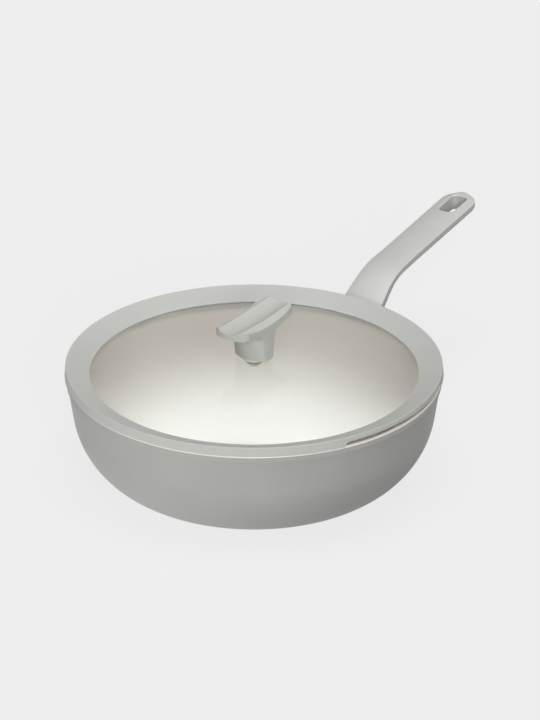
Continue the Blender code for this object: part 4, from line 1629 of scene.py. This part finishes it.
    def screw_form(self) -> bpy.types.Object:
        """The counterbore for the handle screw's head and washer, up from the underside.

        Returns:
            A solid to cut with.
        """
        low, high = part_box("handle_screw_washer")
        bpy.ops.mesh.primitive_cylinder_add(
            vertices=48,
            radius=(high.y - low.y) / 2 + self.screw_gap,
            depth=self.screw_bore,
            location=self.along_neck(self.screw_reach, self.screw_seat + self.screw_bore / 2),
            rotation=(0, -self.neck_slope, 0),
        )
        return added("screw_form")

    def build(self, finishes: Finishes) -> None:
        """Press the handle, cut its root, pocket, screw hole and hanging hole, and put it in its place.

        Args:
            finishes: The finishes to dress it with.
        """
        piece = self.build_blank()
        for tool in (self.wall_form(), self.pocket_form(), self.screw_form(), self.hole_form()):
            combine(piece, tool)
        piece.name = "handle_moulding"
        piece.data.name = piece.name
        finish_mesh(piece, 40.0)
        dress(piece, finishes.handle)
        seat(piece, "pan", "handle_plastic", "handle_grip")


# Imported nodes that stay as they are


@dataclass(frozen=True)
class Fixings:
    """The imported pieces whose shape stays: they only get their finish."""

    def dress_all(self, finishes: Finishes) -> None:
        """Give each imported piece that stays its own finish.

        Args:
            finishes: The finishes to dress them with.
        """
        chosen = {
            "induction_plate": finishes.plate,
            "handle_bracket": finishes.bracket,
            "handle_screw": finishes.steel,
            "handle_screw_washer": finishes.steel,
            "knob_insert": finishes.brass,
            "knob_gasket": finishes.gasket,
            "inner_gasket": finishes.gasket,
            "knob_screw": finishes.steel,
            "knob_screw_washer": finishes.steel,
        }
        for node, material in chosen.items():
            dress(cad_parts[node], material)
            LOG.info("%s: finish %s", node, material.name)


# Studio


def direction(azimuth: float, elevation: float) -> Vector:
    a, e = math.radians(azimuth), math.radians(elevation)
    return Vector((math.sin(a) * math.cos(e), -math.cos(a) * math.cos(e), math.sin(e)))


@dataclass(frozen=True)
class Sun:
    """A soft sun.

    Attributes:
        name: The lamp's name.
        elevation: Height above the horizon in degrees.
        strength: Irradiance in watts per square metre.
        softness: Angle that the sun spans in degrees.
    """

    name: str
    azimuth: float
    elevation: float
    strength: float
    softness: float

    def hang(self) -> None:
        """Add the lamp to the scene."""
        data = bpy.data.lights.new(self.name, "SUN")
        data.energy = self.strength
        data.angle = math.radians(self.softness)
        lamp = bpy.data.objects.new(self.name, data)
        lamp.rotation_mode = "QUATERNION"
        lamp.rotation_quaternion = direction(self.azimuth, self.elevation).to_track_quat("Z", "Y")
        bpy.context.scene.collection.objects.link(lamp)


@dataclass
class Studio:
    """Pale floor, soft light and the photograph's view.

    Attributes:
        elevation: Height of the view above the horizon, in degrees.
        lens: Focal length in millimetres.
        sensor: Width of the camera's sensor in millimetres.
        scale: Pixels per metre at the middle of the view.
        frame_height: Height of the picture in pixels.
        aim_height: Height on the pan's axis near which the camera is aimed.
        aim_shift: How far right and up of that point it is aimed, as the picture shows it.
        pale: Display colour of floor and background.
        glow: Share of the floor's colour that no shadow dims.
        ambient: Strength of the sky.
        bounce: Light that the floor throws back, at the picture's left and at its right.
        bounce_reach: Distance from the axis, left and right, over which it changes.
        suns: The lamps.
    """

    azimuth: float = -59.0
    elevation: float = 25.7
    lens: float = 800.0
    sensor: float = 36.0
    scale: float = 1290.2
    frame_height: int = 720
    aim_height: float = 95.3 * MM
    aim_shift: tuple[float, float] = (12.35 * MM, 4.33 * MM)
    pale: tuple[int, int, int] = (239, 239, 239)
    glow: float = 0.9
    ambient: float = 0.06
    bounce: tuple[float, float] = (1.05, 0.0)
    bounce_reach: float = 120.0 * MM
    suns: tuple[Sun, ...] = (
        Sun("key", -36.0, 84.4, 1.68, 48.0),
        Sun("front", -54.0, 25.0, 2.15, 24.0),
        Sun("right", 19.0, 8.0, 0.32, 24.0),
    )

    def place_camera(self) -> None:
        """Put the camera at the photograph's viewing angle, far off with a long lens."""
        back = direction(self.azimuth, self.elevation)
        right = self.picture_right()
        up = back.cross(right)
        aim = Vector((0, 0, self.aim_height)) + right * self.aim_shift[0] + up * self.aim_shift[1]
        distance = self.lens / self.sensor * self.frame_height / self.scale
        data = bpy.data.cameras.new("camera")
        data.lens = self.lens
        data.sensor_width = self.sensor
        data.clip_end = 4 * distance
        camera = bpy.data.objects.new("camera", data)
        camera.location = aim + back * distance
        camera.rotation_mode = "QUATERNION"
        camera.rotation_quaternion = back.to_track_quat("Z", "Y")
        bpy.context.scene.collection.objects.link(camera)
        bpy.context.scene.camera = camera

    def lay_floor(self) -> None:
        """Lay a pale floor that keeps a faint shadow in the picture."""
        deselect_all()
        bpy.ops.mesh.primitive_plane_add(size=30.0, location=(0, 0, -0.05 * MM))
        floor = added("floor")
        sheet = NodeSheet("pale_floor")
        tone = linear(self.pale)
        patches = sheet.spread(sheet.noise(0.8), 0.0, 1.0)
        duller = tuple(value * 0.995 for value in tone)
        sheet.links.new(sheet.blend(patches, tone, duller), sheet.shader.inputs["Base Color"])
        sheet.set("Roughness", 0.9)
        sheet.set("Specular IOR Level", 0.1)
        glow = sheet.nodes.new("ShaderNodeEmission")
        glow.inputs["Color"].default_value = (*tone, 1.0)
        seen = self.seen_directly(sheet.nodes, sheet.links)
        sheet.links.new(self.floor_bounce(sheet, seen), glow.inputs["Strength"])
        share = sheet.nodes.new("ShaderNodeMapRange")
        share.inputs["To Min"].default_value = 1.0
        share.inputs["To Max"].default_value = self.glow
        mix = sheet.nodes.new("ShaderNodeMixShader")
        sheet.links.new(seen, share.inputs["Value"])
        sheet.links.new(share.outputs["Result"], mix.inputs[0])
        sheet.links.new(sheet.shader.outputs[0], mix.inputs[1])
        sheet.links.new(glow.outputs[0], mix.inputs[2])
        sheet.links.new(mix.outputs[0], sheet.nodes["Material Output"].inputs["Surface"])
        dress(floor, sheet.material)

    def picture_right(self) -> Vector:
        """The level direction that points to the right in the picture."""
        a = math.radians(self.azimuth)
        return Vector((math.cos(a), math.sin(a), 0.0))

    def floor_bounce(self, sheet: NodeSheet, seen: bpy.types.NodeSocket) -> bpy.types.NodeSocket:
        """Strength of the floor's glow: 1 where it is seen, and less towards the right where it lights.

        Args:
            sheet: The floor's node tree.
            seen: 1 for rays that see the floor directly.

        Returns:
            The strength.
        """
        lean = sheet.nodes.new("ShaderNodeVectorMath")
        lean.operation = "DOT_PRODUCT"
        lean.inputs[1].default_value = self.picture_right()
        sheet.links.new(sheet.place, lean.inputs[0])
        fall = sheet.nodes.new("ShaderNodeMapRange")
        fall.inputs["From Min"].default_value = -self.bounce_reach
        fall.inputs["From Max"].default_value = self.bounce_reach
        fall.inputs["To Min"].default_value = self.bounce[0]
        fall.inputs["To Max"].default_value = self.bounce[1]
        sheet.links.new(lean.outputs["Value"], fall.inputs["Value"])
        strength = sheet.nodes.new("ShaderNodeMapRange")
        strength.inputs["To Max"].default_value = 1.0
        sheet.links.new(seen, strength.inputs["Value"])
        sheet.links.new(fall.outputs["Result"], strength.inputs["To Min"])
        return strength.outputs["Result"]

    @staticmethod
    def seen_directly(nodes: bpy.types.Nodes, links: bpy.types.NodeLinks) -> bpy.types.NodeSocket:
        """Give 1 for camera, glossy and transmission rays and 0 for the rays that light a surface.

        A ray that has left a matt surface lights it, also through the glass.

        Args:
            nodes: The nodes of a material or of the sky.
            links: Its links.

        Returns:
            1 or 0.
        """
        path = nodes.new("ShaderNodeLightPath")
        found = path.outputs["Is Camera Ray"]
        for name in ("Is Glossy Ray", "Is Transmission Ray"):
            either = nodes.new("ShaderNodeMath")
            either.operation = "MAXIMUM"
            links.new(found, either.inputs[0])
            links.new(path.outputs[name], either.inputs[1])
            found = either.outputs[0]
        direct = nodes.new("ShaderNodeMath")
        direct.operation = "SUBTRACT"
        direct.use_clamp = True
        links.new(found, direct.inputs[0])
        links.new(path.outputs["Diffuse Depth"], direct.inputs[1])
        return direct.outputs[0]

    def light(self) -> None:
        """Light the object from a dim even sky, with soft suns for shape."""
        world = bpy.data.worlds.new("sky")
        bpy.context.scene.world = world
        world.use_nodes = True
        nodes, links = world.node_tree.nodes, world.node_tree.links
        ambient = nodes["Background"]
        ambient.inputs["Color"].default_value = (1.0, 1.0, 1.0, 1.0)
        ambient.inputs["Strength"].default_value = self.ambient
        seen = nodes.new("ShaderNodeBackground")
        seen.inputs["Color"].default_value = (*linear(self.pale), 1.0)
        seen.inputs["Strength"].default_value = 1.0
        mix = nodes.new("ShaderNodeMixShader")
        links.new(self.seen_directly(nodes, links), mix.inputs[0])
        links.new(ambient.outputs[0], mix.inputs[1])
        links.new(seen.outputs[0], mix.inputs[2])
        links.new(mix.outputs[0], nodes["World Output"].inputs["Surface"])
        for sun in self.suns:
            sun.hang()


def main() -> None:
    """Build every piece, dress it, and set up view and light."""
    logging.basicConfig(level=logging.INFO, format="%(name)s: %(message)s")
    bpy.context.scene.view_settings.view_transform = "Standard"
    studio = Studio()
    studio.place_camera()
    finishes = Finishes()
    pan = PanBody()
    glass = LidGlass()
    pan.build(finishes)
    glass.build(finishes)
    LidRing(pan, glass).build(finishes)
    Knob(glass).build(finishes)
    Handle(pan).build(finishes)
    Fixings().dress_all(finishes)
    studio.lay_floor()
    studio.light()


if __name__ == "__main__":
    main()
